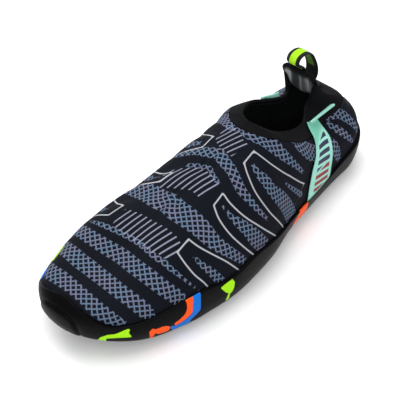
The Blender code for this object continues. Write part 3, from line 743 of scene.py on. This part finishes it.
class Finish:
    """One material, and the one way in which nodes are added to it."""

    def __init__(self, name, **sockets):
        self.material = bpy.data.materials.new(name)
        self.material.use_nodes = True
        self.tree = self.material.node_tree
        self.shader = self.tree.nodes["Principled BSDF"]
        self.places = {}
        for socket, value in sockets.items():
            self.feed(self.shader.inputs[socket.replace("_", " ")], value)

    def feed(self, socket, value):
        if isinstance(value, Wire):
            self.tree.links.new(value.socket, socket)
        elif isinstance(value, tuple) and len(value) == 3 and socket.type == "RGBA":
            socket.default_value = value + (1.0,)
        else:
            socket.default_value = value

    def node(self, kind, settings, values, output=0):
        made = self.tree.nodes.new(kind)
        for name, value in settings.items():
            setattr(made, name, value)
        for name, value in values.items():
            self.feed(made.inputs[name], value)
        return Wire(self, made.outputs[output])

    def place(self, kind="Object"):
        """The piece's own coordinates: Object, or its UV map."""
        if kind not in self.places:
            self.places[kind] = self.node("ShaderNodeTexCoord", {}, {}, kind)
        return self.places[kind]

    def kept(self, name, output="Fac"):
        """A value kept on the piece's points."""
        return self.node("ShaderNodeAttribute", {"attribute_name": name}, {}, output)

    def parts(self, vector):
        made = self.node("ShaderNodeSeparateXYZ", {}, {0: vector}).socket.node
        return [Wire(self, socket) for socket in made.outputs]

    def noise(self, scale, detail=2.0):
        return self.node("ShaderNodeTexNoise", {}, {"Vector": self.place(), "Scale": scale, "Detail": detail})

    def mix(self, share, first, second):
        """The first colour where the share is 0, and the second where it is 1."""
        return self.node("ShaderNodeMix", {"data_type": "RGBA"}, {0: share, 6: first, 7: second}, 2)

    def bump(self, height, depth):
        """Relief of a real depth in metres."""
        made = self.node("ShaderNodeBump", {}, {"Height": height, "Distance": depth})
        self.feed(self.shader.inputs["Normal"], made)

    def colour(self, value):
        self.feed(self.shader.inputs["Base Color"], value)

    def roughness(self, value):
        self.feed(self.shader.inputs["Roughness"], value)


def thread_relief(finish, across=760.0, up=900.0):
    """Fine knit: columns of loops on the piece's UV map, which is in metres."""
    u, v, _ = finish.parts(finish.place("UV"))
    columns = (u * across).maths("SINE")
    rows = (v * up + columns * 0.8).maths("SINE")
    return columns * 0.35 + rows * 0.35 + finish.noise(1500.0, 2.0) * 0.6


def lining_with_painted_sheen(finish):
    """The heel's satin lining: its own dark grey, with upright streaks of painted highlight (painted sheen on
    its folds) that fade out downwards and round the sides, where less light falls.
    """
    u, v, _ = finish.parts(finish.place("UV"))
    folds = finish.node("ShaderNodeCombineXYZ", {}, {0: u * 130.0, 1: v * 8.0})
    # Streaks of painted highlight along the lining's folds, shown where the painted sheen mask lets them. The
    # dark grey is the lining's own colour.
    sheen_streaks = finish.node("ShaderNodeTexNoise", {}, {"Vector": folds, "Scale": 1.0, "Detail": 2.0})
    share = sheen_streaks.rise(0.40, 0.66) * finish.kept("satin")
    return finish.mix(share, (0.020, 0.023, 0.025), (0.290, 0.300, 0.305))


def painted_sheen_share(turn, v):
    """How much the painted highlight streaks show at a place on the lining."""
    q, _ = ring(turn)
    return np.clip(1 - (q / SHEEN_REACH) ** 2, 0, 1) * np.clip((v - SHEEN_FADE) / SHEEN_FADE, 0, 1)


def knit_finish():
    """The printed knit: nets of yarn, stripes and outlined wedges on a near black ground."""
    finish = Finish("printed_knit", Specular_IOR_Level=0.05)
    along, across, inside = finish.parts(finish.kept("net", "Vector"))
    wander = finish.noise(260.0, 2.0) * 0.10 - 0.05
    slant = along / NET_ALONG + across / NET_ACROSS + wander
    counter = along / NET_ALONG - across / NET_ACROSS + wander
    lines = slant.fold(1.0).least(counter.fold(1.0))
    net = (1 - lines.rise(0.09, 0.20)) * inside.rise(-0.15, 0.25)
    side, back, _ = finish.parts(finish.place())
    lines = ((side - back * STRIPE_SLANT) * 1000.0).fold(STRIPE_PITCH)
    stripes = (1 - lines.rise(0.08, 0.17)) * finish.kept("stripes").rise(-0.1, 0.3)
    wedge = 1 - finish.kept("wedge").size().rise(0.30, 0.66)
    lining = finish.kept("lining")
    worn = finish.noise(1300.0, 1.0) * 0.6 + 0.62
    hue = finish.noise(110.0, 2.0).rise(0.40, 0.62)
    ground = finish.mix(finish.noise(30.0, 3.0), (0.0030, 0.0036, 0.0064), (0.0050, 0.0060, 0.0102))
    net_colour = finish.mix(hue, (0.102, 0.155, 0.235), (0.138, 0.150, 0.228))
    colour = finish.mix(net * worn * 0.9, ground, net_colour)
    colour = finish.mix(stripes * worn * 0.9, colour, (0.230, 0.240, 0.320))
    colour = finish.mix(wedge, colour, (0.33, 0.34, 0.37))
    # The inside is the satin lining, with its painted highlight streaks.
    colour = finish.mix(lining, colour, lining_with_painted_sheen(finish))
    finish.colour(colour)
    printed = net.most(stripes).most(wedge)
    finish.roughness(0.80 - printed * 0.16 - lining * 0.36)
    finish.bump(thread_relief(finish) * 0.5 + printed * 0.45, 0.00030)
    return finish.material


def stretch_finish():
    """Black stretch fabric, with a satin lining inside that carries painted sheen."""
    finish = Finish("stretch_fabric", Specular_IOR_Level=0.05)
    lining = finish.kept("lining")
    mottle = finish.noise(25.0, 3.0)
    black = finish.mix(mottle, (0.0025, 0.0025, 0.0032), (0.0050, 0.0050, 0.0058))
    # The inside is the satin lining, with its painted highlight streaks.
    finish.colour(finish.mix(lining, black, lining_with_painted_sheen(finish)))
    finish.roughness(0.86 - lining * 0.46)
    finish.bump(thread_relief(finish, 620.0, 620.0), 0.00014)
    return finish.material


def rubber_finish():
    """Black rubber with its colour splashes."""
    finish = Finish("sole_rubber", Specular_IOR_Level=0.035)
    lime, orange, blue = finish.parts(finish.kept("splash", "Vector"))
    mottle = finish.noise(40.0, 3.0)
    colour = finish.mix(mottle, (0.0008, 0.0008, 0.0011), (0.0018, 0.0018, 0.0022))
    for shape, paint in ((blue, (0.005, 0.130, 0.52)), (orange, (0.80, 0.080, 0.008)),
                         (lime, (0.31, 0.66, 0.006))):
        colour = finish.mix(shape.rise(-0.25, 0.25), colour, paint)
    finish.colour(colour)
    finish.roughness(0.32 + mottle * 0.14)
    finish.bump(finish.noise(900.0, 2.0) * 0.6 + mottle * 0.4, 0.00008)
    return finish.material


def strap_finish(printed):
    """Mint elastic, darker at a strap's top with painted shade under its fold. A strap's printed bars are
    plain slanted blocks.
    """
    finish = Finish("mint_elastic", Roughness=0.62, Specular_IOR_Level=0.3)
    u, v, _ = finish.parts(finish.place("UV"))
    colour = finish.mix(finish.noise(60.0, 2.0), (0.235, 0.520, 0.440), (0.285, 0.600, 0.515))
    if printed:
        run = v * 1000.0
        bars = 1 - (run + u * BAR_SLANT).fold(BAR_PITCH).rise(0.27, 0.33)
        bars = bars * (1 - (u - 0.53).size().rise(0.29, 0.33))
        navy, red = (bars * run.rise(first, first + 0.5) * (1 - run.rise(last, last + 0.5))
                     for first, last in (NAVY_BARS, RED_BARS))
        # Painted shade: the strap's top goes a deeper green where its fold shades it.
        colour = finish.mix(run.rise(40.0, 48.0), colour, (0.130, 0.430, 0.320))
        colour = finish.mix(navy, colour, (0.010, 0.016, 0.052))
        colour = finish.mix(red, colour, (0.210, 0.012, 0.014))
    finish.colour(finish.mix((u - 0.5).size().rise(0.45, 0.5), colour, (0.14, 0.38, 0.30)))
    finish.bump((v * 5200.0).maths("SINE") * 0.5 + finish.noise(1400.0, 2.0), 0.00012)
    return finish.material


def webbing_finish():
    """Black webbing with a lime stripe down its middle, which is painted darker on the inside of the loop as
    shade.
    """
    finish = Finish("loop_webbing", Roughness=0.72, Specular_IOR_Level=0.2)
    u, v, _ = finish.parts(finish.place("UV"))
    stripe = (1 - (u - 0.5).size().rise(0.22, 0.26)) * (1 - (v * 1000.0).rise(55.0, 56.0))
    lime = finish.mix(finish.noise(400.0, 2.0), (0.28, 0.60, 0.004), (0.36, 0.72, 0.008))
    # Painted shade: the lime is darker on the loop's inner face, which faces away from the light.
    lime_with_painted_shade = finish.mix(finish.kept("outer_face"), (0.075, 0.190, 0.003), lime)
    finish.colour(finish.mix(stripe, (0.0030, 0.0030, 0.0035), lime_with_painted_shade))
    weave = (u * 60.0).maths("SINE") * (v * 5200.0).maths("SINE")
    finish.bump(weave * 0.7 + finish.noise(1500.0, 2.0) * 0.5, 0.00022)
    return finish.material


def foam_finish():
    """The foot bed's dark cloth-covered foam."""
    finish = Finish("foot_bed_foam", Roughness=0.9, Specular_IOR_Level=0.2)
    finish.colour(finish.mix(finish.noise(50.0, 3.0), (0.010, 0.010, 0.012), (0.018, 0.018, 0.021)))
    finish.bump(finish.noise(1100.0, 2.0), 0.00020)
    return finish.material


def seat(bm, points, left_out=None, turns=None, ribs=None):
    """A grid laid on rows and columns of points. Each point may keep its turn and its rib."""
    rows, columns = points.shape[:2]
    turn_layer, rib_layer = (bm.verts.layers.float.get(name) or bm.verts.layers.float.new(name)
                             for name in ("turn", "rib"))
    grid = bmesh.ops.create_grid(bm, x_segments=columns - 1, y_segments=rows - 1, size=1.0)
    gone = []
    if left_out is not None:
        for skin_face in {f for vert in grid["verts"] for f in vert.link_faces}:
            centre = skin_face.calc_center_median()
            cell = int((centre.y + 1) / 2 * (rows - 1)), int((centre.x + 1) / 2 * (columns - 1))
            if left_out[cell]:
                gone.append(skin_face)
    for vert in grid["verts"]:
        column = round((vert.co.x + 1) / 2 * (columns - 1))
        row = round((vert.co.y + 1) / 2 * (rows - 1))
        vert.co = points[row, column]
        if turns is not None:
            vert[turn_layer] = turns[row, column]
            vert[rib_layer] = ribs[row, column]
    bmesh.ops.delete(bm, geom=gone, context="FACES")


def close_up(name, bm, material, sharp=40):
    """A finished piece from its bmesh: merged, closed, facing outwards and smooth up to an angle."""
    bmesh.ops.remove_doubles(bm, verts=bm.verts[:], dist=2e-6)
    bmesh.ops.dissolve_degenerate(bm, edges=bm.edges[:], dist=2e-6)
    bmesh.ops.recalc_face_normals(bm, faces=bm.faces[:])
    mesh = bpy.data.meshes.new(name)
    bm.to_mesh(mesh)
    bm.free()
    mesh.shade_smooth()
    mesh.set_sharp_from_angle(angle=math.radians(sharp))
    mesh.materials.append(material)
    piece = bpy.data.objects.new(name, mesh)
    bpy.context.scene.collection.objects.link(piece)
    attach(piece, "root")
    return piece


def kept_on(piece, name):
    """The values of one attribute of a piece's points."""
    values = np.zeros(len(piece.data.vertices))
    piece.data.attributes[name].data.foreach_get("value", values)
    return values


def places_on(piece):
    """The places of a piece's points."""
    values = np.zeros(len(piece.data.vertices) * 3)
    piece.data.vertices.foreach_get("co", values)
    return values.reshape(-1, 3)


def keep_on(piece, name, values):
    """Keeps a number or a vector on each of a piece's points."""
    vector = values.ndim == 2
    layer = piece.data.attributes.new(name, "FLOAT_VECTOR" if vector else "FLOAT", "POINT")
    layer.data.foreach_set("vector" if vector else "value", values.astype(np.float32).ravel())


def unwrap(piece, u, v):
    """A UV map from one value of u and one of v on each point. A face over the heel's seam is kept whole."""
    mesh = piece.data
    corners = np.zeros(len(mesh.loops), int)
    mesh.loops.foreach_get("vertex_index", corners)
    starts = np.zeros(len(mesh.polygons), int)
    totals = np.zeros(len(mesh.polygons), int)
    mesh.polygons.foreach_get("loop_start", starts)
    mesh.polygons.foreach_get("loop_total", totals)
    owner = np.repeat(np.arange(len(totals)), totals)
    across = u[corners]
    whole = u.max() - u.min()
    high = np.maximum.reduceat(across, starts)
    across = np.where((high[owner] - across) > whole / 2, across + whole, across)
    layer = mesh.uv_layers.new(name="UVMap")
    layer.data.foreach_set("uv", np.column_stack([across, v[corners]]).ravel())


def wall_rows(rows_out, crown, rows_in):
    """Rows up the outside of a wall, over its top, down its inside and back to its start."""
    return np.concatenate([rows_out, crown, rows_in[::-1], rows_out[:1]])


def across_sheet(edge_line, share):
    """Rows from the outer side of a closed edge line across to its inner side."""
    count = len(edge_line) // 2
    outer = edge_line[:count + 1]
    inner = np.concatenate([edge_line[:1], edge_line[:count - 1:-1]])
    return outer[:, None] * (1 - share) + inner[:, None] * share


def build_knit():
    """The printed knit with its wall. Its lowest rows are tucked in behind the rubber."""
    t = np.append(fine_turns(ring_turns(SEAM_GAP)), 1.0)
    top = seam_or_ridge(t, SEAM_GAP)
    edge = 0.86 * wrap_v(t)
    low = np.linspace(0, 1, TUCKED_ROWS, endpoint=False)[:, None] * edge[None]
    v_out = np.concatenate([low, edge + np.linspace(0, 1, KNIT_ROWS)[:, None] * (top - edge)[None]])
    v_in = np.concatenate([low[::4], edge + np.linspace(0, 1, LINING_ROWS)[:, None] * (top - edge)[None]])
    sheets = []
    for v, lift in ((v_out, 0.0), (v_in, -UPPER_WALL)):
        turns = np.broadcast_to(t, v.shape)
        places, outward = skin(turns, v, lift), normal(turns, v)
        sunk = creased(places.reshape(-1, 3), outward.reshape(-1, 3)).reshape(v.shape)
        over_ridge = (top > 0.999) * (v > top - 0.05)
        sunk *= np.clip((v - edge) / 0.08, 0, 1) * np.clip((top - v) / 0.05, 0, 1) + over_ridge
        sheets.append(places - outward * sunk[..., None])
    outer, inner = sheets
    points = wall_rows(outer, outer[:0], inner)
    turns = np.broadcast_to(t, points.shape[:2])
    ribs = np.concatenate([v_out, -1 - v_in[::-1], v_out[:1]])
    q, _ = ring(t)
    meeting = q >= seam_front(SEAM_GAP) - 1e-9
    left_out = np.zeros((len(points) - 1, points.shape[1] - 1), bool)
    left_out[len(outer) - 1] = meeting[:-1] & meeting[1:]
    bm = bmesh.new()
    seat(bm, points, left_out, turns, ribs)
    piece = close_up("knit_upper", bm, knit_finish(), 60)
    turn, rib = kept_on(piece, "turn"), kept_on(piece, "rib")
    shown = rib > -0.5
    where, outward = places_on(piece), normal(turn, np.clip(rib, 0, 1))
    net = np.tile(np.array([0.0, 0.0, FAR_INSIDE]), (len(turn), 1))
    stripes = np.full(len(turn), FAR_INSIDE)
    wedge = np.full(len(turn), FAR_LINE)
    nets = list(TOE_NETS) + [both_sides(band) for band in INSTEP_NETS]
    for band in SIDE_NETS:
        nets += [band, other_side(band, INNER_FORWARD, INNER_UP)]
    net[shown] = printed_bands(where[shown], outward[shown], nets)
    stripes[shown] = printed_bands(where[shown], outward[shown], STRIPES)[:, 2]
    wedge[shown] = printed_wedges(where[shown], outward[shown], turn[shown], rib[shown])
    keep_on(piece, "net", net)
    keep_on(piece, "stripes", stripes)
    keep_on(piece, "wedge", wedge)
    keep_on(piece, "lining", np.where(shown, 0.0, 1.0))
    # Where the lining's painted highlight streaks show.
    keep_on(piece, "satin", np.where(shown, 0.0, painted_sheen_share(turn, -1 - rib)))
    unwrap(piece, outline_run(turn) / 1000, np.where(shown, rib, -1 - rib) * KNIT_HEIGHT)
    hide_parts("upper")


def build_collar():
    """The black band round the opening with the heel tab, its rolled edge and its lining."""
    t = fine_turns(ring_turns(0.0))
    q, _ = ring(t)
    half = int(np.sum(q[:len(t) // 2] <= seam_front(0.0) + 1e-9))
    t = np.concatenate([t[-half + 1:], t[:half]])
    q, _ = ring(t)
    start = seam_or_ridge(t, 0.0)
    shares = np.linspace(0, 1, BAND_ROWS)[:, None]
    v = start[None] + shares * (1 - start)[None]
    turns = np.broadcast_to(t, v.shape)
    outer, inner = skin(turns, v, 0.0), skin(turns, v, -COLLAR_WALL)
    outward = normal(t, np.ones_like(t))
    rising = face(t, np.ones_like(t)) - face(t, np.full_like(t, 0.97))
    rising /= np.linalg.norm(rising, axis=1, keepdims=True)
    middle = skin(t, np.ones_like(t), -COLLAR_WALL / 2)
    bend = np.linspace(0, math.pi, 8)[1:-1, None, None]
    rolled = outward[None] * np.cos(bend) + rising[None] * np.sin(bend) * 0.9
    crown = middle[None] + COLLAR_WALL / 2 * rolled
    points = wall_rows(outer, crown, inner)
    meeting = q >= THROAT_Q - 1e-9
    left_out = np.zeros((len(points) - 1, points.shape[1] - 1), bool)
    left_out[len(outer) - 1:len(outer) + len(crown)] = meeting[:-1] & meeting[1:]
    ribs = np.concatenate([v, np.full(crown.shape[:2], 1.5), 2 + v[::-1], v[:1]])
    bm = bmesh.new()
    seat(bm, points, left_out, np.broadcast_to(t, points.shape[:2]), ribs)
    piece = close_up("stretch_collar", bm, stretch_finish(), 50)
    rib, turn = kept_on(piece, "rib"), kept_on(piece, "turn")
    keep_on(piece, "lining", np.where(rib > 1.9, np.clip((2.985 - rib) / 0.03, 0, 1), 0.0))
    # Where the lining's painted highlight streaks show.
    keep_on(piece, "satin", np.where(rib > 1.9, painted_sheen_share(turn, rib - 2), 0.0))
    unwrap(piece, outline_run(turn) / 1000, (rib % 1.0) * COLLAR_MAP_HEIGHT)
    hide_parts("collar")


def panel_shape(t, height):
    """Millimetres inside the moulded toe panel, by the run round the toe and the height."""
    return inside_shape(PANEL_OUTLINE, outline_run(t) - outline_run(0.5), height)


def build_sole():
    """The rubber that wraps up round the knit, with the panel at its toe and its colour splashes."""
    t = fine_turns(ring_turns(SEAM_GAP))
    x, y, s = outline(t)
    top = wrap_v(t)
    start = 0.7 * FEATHER_V
    v = start + np.linspace(0, 1, SOLE_ROWS)[:, None] * (top - start)[None]
    turns = np.broadcast_to(t, v.shape)
    lip = np.clip((v - start) / (top - start) * 14 - 13, 0, 1)
    wall = lifted(turns, v, GAP + RUBBER_WALL * (1 - 0.5 * lip ** 2))
    panel = panel_shape(turns, wall[..., 2] * 1000)
    groove = PANEL_GROOVE * np.exp(-((panel + 0.6) / 0.7) ** 2)
    moulded = PANEL_RAISE * np.clip(panel / PANEL_SLOPE, 0, 1) - groove
    wall = wall + normal(turns, v) * moulded[..., None]
    flat = np.stack([x, y, underside(s) + LUG_HEIGHT], -1)
    bottom = flat + plan_inward(t) * UNDERSIDE_INSET
    corner = wall[0] + (bottom - wall[0]) * CORNER_ROUND
    corner[..., 2] = flat[..., 2]
    w = np.linspace(0, 1, 12, endpoint=False)[:, None, None]
    turned = (1 - w) ** 2 * bottom + 2 * w * (1 - w) * corner + w ** 2 * wall[0]
    v_in = np.linspace(0, 1, 9)[:, None] * top[None]
    inside = lifted(np.broadcast_to(t, v_in.shape), v_in, GAP)[::-1]
    points = np.concatenate([turned, wall, inside, turned[:1]])
    bm = bmesh.new()
    closed = np.concatenate([points, points[:, :1]], axis=1)
    turn = np.broadcast_to(np.append(t, 1.0), closed.shape[:2])
    seat(bm, closed, None, turn, np.broadcast_to(np.arange(len(closed))[:, None], closed.shape[:2]))
    piece = close_up("wrapped_sole", bm, rubber_finish(), 50)
    turn, row = kept_on(piece, "turn"), kept_on(piece, "rib")
    height, run = places_on(piece)[:, 2] * 1000, outline_run(turn)
    splash = np.full((len(turn), 3), FAR_INSIDE)
    shown = row < len(turned) + len(wall) - 0.5
    for column, name in enumerate(("lime", "orange", "blue")):
        for corners in SPLASHES[name]:
            shape = [(float(outline_run(corner_turn)), z) for corner_turn, z in corners]
            inside = inside_shape(shape, run[shown], height[shown])
            splash[shown, column] = np.maximum(splash[shown, column], inside)
    keep_on(piece, "splash", splash)
    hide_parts("outsole")


def build_tread():
    """The sole's bed and its plain tread blocks."""
    t = ring_turns(SEAM_GAP)
    x, y, s = outline(t)
    bottom = np.stack([x, y, underside(s) + LUG_HEIGHT], -1) + plan_inward(t) * UNDERSIDE_INSET
    low = across_sheet(bottom, np.linspace(0.0, 1.0, ACROSS_CUTS + 1)[None, :, None])
    bm = bmesh.new()
    seat(bm, low)
    cells = {}
    for skin_face in bm.faces:
        centre = skin_face.calc_center_median()
        gaps = np.linalg.norm((low[:-1, :-1] + low[1:, 1:]) / 2 - np.array(centre), axis=-1)
        cells[np.unravel_index(gaps.argmin(), gaps.shape)] = skin_face
    for first in range(2, len(t) // 2 - 3, 2):
        for column in range(0, ACROSS_CUTS, 2):
            block = [cells[(first + i, column + j)] for i in (0, 1) for j in (0, 1)]
            bmesh.ops.inset_region(bm, faces=block, thickness=LUG_MARGIN, use_boundary=True,
                                   use_even_offset=True)
            for vert in {corner for skin_face in block for corner in skin_face.verts}:
                vert.co.z -= LUG_HEIGHT
    rim_edges = [edge for edge in bm.edges if edge.is_boundary]
    high = bmesh.ops.extrude_edge_only(bm, edges=rim_edges)
    for vert in [item for item in high["geom"] if isinstance(item, bmesh.types.BMVert)]:
        vert.co.z += TREAD_THICKNESS
    bmesh.ops.holes_fill(bm, edges=[edge for edge in bm.edges if edge.is_boundary], sides=0)
    piece = close_up("tread", bm, rubber_finish(), 30)
    keep_on(piece, "splash", np.full((len(piece.data.vertices), 3), FAR_INSIDE))
    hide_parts("outsole")


def build_foot_bed():
    """The thin foam sheet under the foot, a little cupped at its edge."""
    t = fine_turns(ring_turns(SEAM_GAP))[::2]
    low = face(t, 0.0) + plan_inward(t) * GAP
    share = np.linspace(0.0, 1.0, 21)[None, :, None]
    bottom = across_sheet(low, share)
    top = across_sheet(low + np.array([0.0, 0.0, INSOLE_THICKNESS]), share)
    top[..., 2] += BED_CUP * ((np.abs(share - 0.5) * 2) ** 4)[..., 0] - BED_CUP / 2
    bm = bmesh.new()
    seat(bm, bottom)
    seat(bm, top)
    bmesh.ops.bridge_loops(bm, edges=[edge for edge in bm.edges if edge.is_boundary])
    piece = close_up("foot_bed", bm, foam_finish())
    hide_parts("insole")


def turns_at(along, v, side):
    """The turns of the points of one side that lie at given places along Y, for one v."""
    turns = np.linspace(0.01, 0.30, 240)
    ys = face(turns, np.full_like(turns, v))[..., 1]
    found = np.interp(-np.asarray(along), -ys, turns)
    return found if side > 0 else 1 - found


def strap_edges(up):
    """Where the strap's front and back edges lie along Y."""
    return [LENGTH * (0.5 - smooth_through(STRAP["up"], STRAP[edge], up)) for edge in ("front", "back")]


def strap_net(foot, rows, columns, side):
    """The strap's turns and ribs, row by row from the foot to its top, which slants down to the back."""
    share = np.linspace(0.0, 1.0, columns)
    v = foot + np.linspace(0.0, 1.0, rows)[:, None] * (1.0 - STRAP_SLANT * share - foot)

    def turn(part, up):
        front, back = strap_edges(up)
        return turns_at([front + (back - front) * part], up, side)[0]

    return np.array([[turn(part, up) for part, up in zip(share, row)] for row in v]), v


def ribbon(name, middle, outward, across, thickness, material):
    """A soft-edged ribbon: rows of points down its middle face, with rounded sides."""
    half = thickness / 2
    bulge = np.sqrt(np.clip(1 - (2 * np.linspace(0, 1, across) - 1) ** 8, 0, 1))
    front = middle + outward * (half * bulge)[None, :, None]
    back = middle - outward * (half * bulge)[None, :, None]
    bm = bmesh.new()
    columns = np.broadcast_to(np.linspace(0, 1, across), middle.shape[:2])
    steps = np.linalg.norm(np.diff(middle, axis=0), axis=-1)
    rows = np.concatenate([np.zeros((1, across)), np.cumsum(steps, axis=0)])
    seat(bm, front, None, columns, rows)
    seat(bm, back, None, columns, rows - 1.0)
    bmesh.ops.bridge_loops(bm, edges=[edge for edge in bm.edges if edge.is_boundary])
    piece = close_up(name, bm, material, 50)
    u, v = kept_on(piece, "turn"), kept_on(piece, "rib")
    keep_on(piece, "outer_face", (v > -0.5).astype(float))
    mesh = piece.data
    corners = np.zeros(len(mesh.loops), int)
    mesh.loops.foreach_get("vertex_index", corners)
    layer = mesh.uv_layers.new(name="UVMap")
    layer.data.foreach_set("uv", np.column_stack([u[corners], np.where(v < -0.5, v + 1, v)[corners]]).ravel())
    return piece


def build_straps():
    """The side straps, from behind the rubber's edge up to the rim."""
    for name, side, node in (("outer_strap", 1, "lateral_strap"), ("inner_strap", -1, "medial_strap")):
        low = np.linspace(*strap_edges(0.0), STRAP_COLUMNS)
        foot = float(np.min(wrap_v(turns_at(low, FEATHER_V, side)))) - 0.02
        t, v = strap_net(foot, STRAP_ROWS, STRAP_COLUMNS, side)
        lift = 2 * GAP + STRAP_THICKNESS / 2
        piece = ribbon(name, skin(t, v, lift), normal(t, v), STRAP_COLUMNS, STRAP_THICKNESS,
                       strap_finish(True))
        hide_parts(node)


def fold_rows(side, share):
    """A fold's path, the way it stands and the way its thickness goes.

    The outer fold bows off the quarter, and the inner one runs along just outside the rim.
    """
    if side < 0:
        along = strap_edges(FOLD_TOP)[0] + INNER_START + share * FOLD_LENGTH * INNER_SHARE
        up = np.full_like(share, INNER_TOP)
        t = np.concatenate([turns_at([y], v, side) for y, v in zip(along, up)])
        path = skin(t, up, INNER_OFF)
        path[:, 2] -= INNER_DIP
        stand = normal(t, up) * INNER_LEAN + np.array([0.0, 0.0, 0.9])
        stand /= np.linalg.norm(stand, axis=1, keepdims=True)
        rising = np.cross(stand, np.gradient(path, axis=0))
        return path, stand, rising / np.linalg.norm(rising, axis=1, keepdims=True)
    along = strap_edges(FOLD_TOP)[0] + FOLD_THICKNESS + share * FOLD_LENGTH
    up = FOLD_TOP - FOLD_DIP * share
    t = np.concatenate([turns_at([y], v, side) for y, v in zip(along, up)])
    path = skin(t, up, STRAP_THICKNESS + 4 * GAP)
    bow = path[:1] + (path[-1:] - path[:1]) * share[:, None]
    outward = normal(t, up).mean(0)
    outward /= np.linalg.norm(outward)
    sag = ((path - bow) @ outward).max()
    path = bow + (outward * sag * 4) * (share * (1 - share))[:, None]
    rising = np.cross(outward, path[-1] - path[0])
    rising *= np.sign(rising[2]) / np.linalg.norm(rising)
    return path, np.broadcast_to(outward, path.shape), np.broadcast_to(rising, path.shape)


def build_folds():
    """The straps' folded ends, which stand off the rim and run back over the heel's quarters."""
    for name, side, node in (("outer_strap_fold", 1, "lateral_strap_fold"),
                             ("inner_strap_fold", -1, "medial_strap_fold")):
        share = np.linspace(0.0, 1.0, 32)
        path, stand, rising = fold_rows(side, share)
        wide = FOLD_STAND * (0.35 + 0.65 * share)[:, None, None] * np.linspace(0.0, 1.0, 9)[None, :, None]
        middle = path[:, None] + stand[:, None] * wide
        thick = np.broadcast_to(rising[:, None], middle.shape)
        piece = ribbon(name, middle, thick, 9, FOLD_THICKNESS, strap_finish(False))
        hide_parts(node)


def build_loop():
    """The webbing loop, sewn on inside the hollow under the tab's edge at both ends."""
    lift = 2.5 * GAP + LOOP_THICKNESS / 2
    tab = lifted(0.0, 1.0, 0.0)
    sewn_up = skin(np.zeros(3), np.linspace(0.90, 0.985, 3), lift)
    arc = np.array([[0.0, tab[1] + back * LOOP_REACH, tab[2] + up * LOOP_RISE]
                    for back, up in zip(LOOP["back"], LOOP["up"])])
    sewn_down = skin(np.zeros(3), np.linspace(0.72, 0.64, 3), lift)
    points = np.concatenate([sewn_up, arc, sewn_down])[:, 1:]
    run = np.concatenate([[0.0], np.cumsum(np.linalg.norm(np.diff(points, axis=0), axis=-1))])
    slopes = np.gradient(points, run, axis=0)
    path = []
    for i in range(len(points) - 1):
        width = run[i + 1] - run[i]
        for w in np.linspace(0.0, 1.0, 8, endpoint=False):
            path.append((1 + 2 * w) * (1 - w) ** 2 * points[i] + w * (1 - w) ** 2 * width * slopes[i]
                        + w * w * (3 - 2 * w) * points[i + 1] - w * w * (1 - w) * width * slopes[i + 1])
    path = np.array(path + [points[-1]])
    along = np.gradient(path, axis=0)
    along /= np.linalg.norm(along, axis=-1, keepdims=True)
    middle = np.zeros((len(path), LOOP_COLUMNS, 3))
    middle[..., 0] = np.linspace(-0.5, 0.5, LOOP_COLUMNS)[None] * LOOP_WIDTH
    middle[..., 1:] = path[:, None]
    outward = np.zeros_like(middle)
    outward[..., 1], outward[..., 2] = -along[:, 1:2], along[:, 0:1]
    piece = ribbon("webbing_loop", middle, outward, LOOP_COLUMNS, LOOP_THICKNESS, webbing_finish())
    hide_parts("pull_loop")


def aim(thing, spot, target):
    """Puts a camera or a light at a spot and turns it to its target."""
    thing.location = spot
    thing.rotation_euler = (Vector(target) - Vector(spot)).to_track_quat("-Z", "Y").to_euler()


def studio():
    """A plain pale floor, soft light from three boxes and an even white surround."""
    floor_bm = bmesh.new()
    bmesh.ops.create_grid(floor_bm, x_segments=1, y_segments=1, size=6.0)
    mesh = bpy.data.meshes.new("floor")
    floor_bm.to_mesh(mesh)
    floor_bm.free()
    floor = bpy.data.objects.new("floor", mesh)
    bpy.context.scene.collection.objects.link(floor)
    paper = Finish("pale_paper", Base_Color=(0.86, 0.86, 0.865), Roughness=0.85, Specular_IOR_Level=0.1)
    mesh.materials.append(paper.material)
    for name, (spot, size, power) in SOFTBOXES.items():
        lamp = bpy.data.lights.new(name, "AREA")
        lamp.size, lamp.energy = size, power
        light = bpy.data.objects.new(name, lamp)
        bpy.context.scene.collection.objects.link(light)
        aim(light, spot, MIDDLE)
    world = bpy.data.worlds.new("studio")
    world.use_nodes = True
    background = world.node_tree.nodes["Background"]
    background.inputs["Color"].default_value = (1.0, 1.0, 1.0, 1.0)
    background.inputs["Strength"].default_value = DAYLIGHT
    bpy.context.scene.view_settings.view_transform = "Standard"
    bpy.context.scene.world = world


def camera():
    """The camera looks down on the toe and the outer side."""
    turn, height = math.radians(CAMERA_TURN), math.radians(CAMERA_HEIGHT)
    level = math.cos(height)
    back = Vector((math.sin(turn) * level, -math.cos(turn) * level, math.sin(height)))
    data = bpy.data.cameras.new("camera")
    data.sensor_width = SENSOR_WIDTH
    data.lens = LENS_PIXELS / FRAME_PIXELS * SENSOR_WIDTH * ZOOM
    data.shift_x = FRAME_SHIFT * ZOOM
    data.clip_start = 0.01
    thing = bpy.data.objects.new("camera", data)
    bpy.context.scene.collection.objects.link(thing)
    aim(thing, Vector(MIDDLE) + back * CAMERA_DISTANCE, MIDDLE)
    bpy.context.scene.camera = thing


build_knit()
build_collar()
build_sole()
build_tread()
build_foot_bed()
build_straps()
build_folds()
build_loop()
studio()
camera()
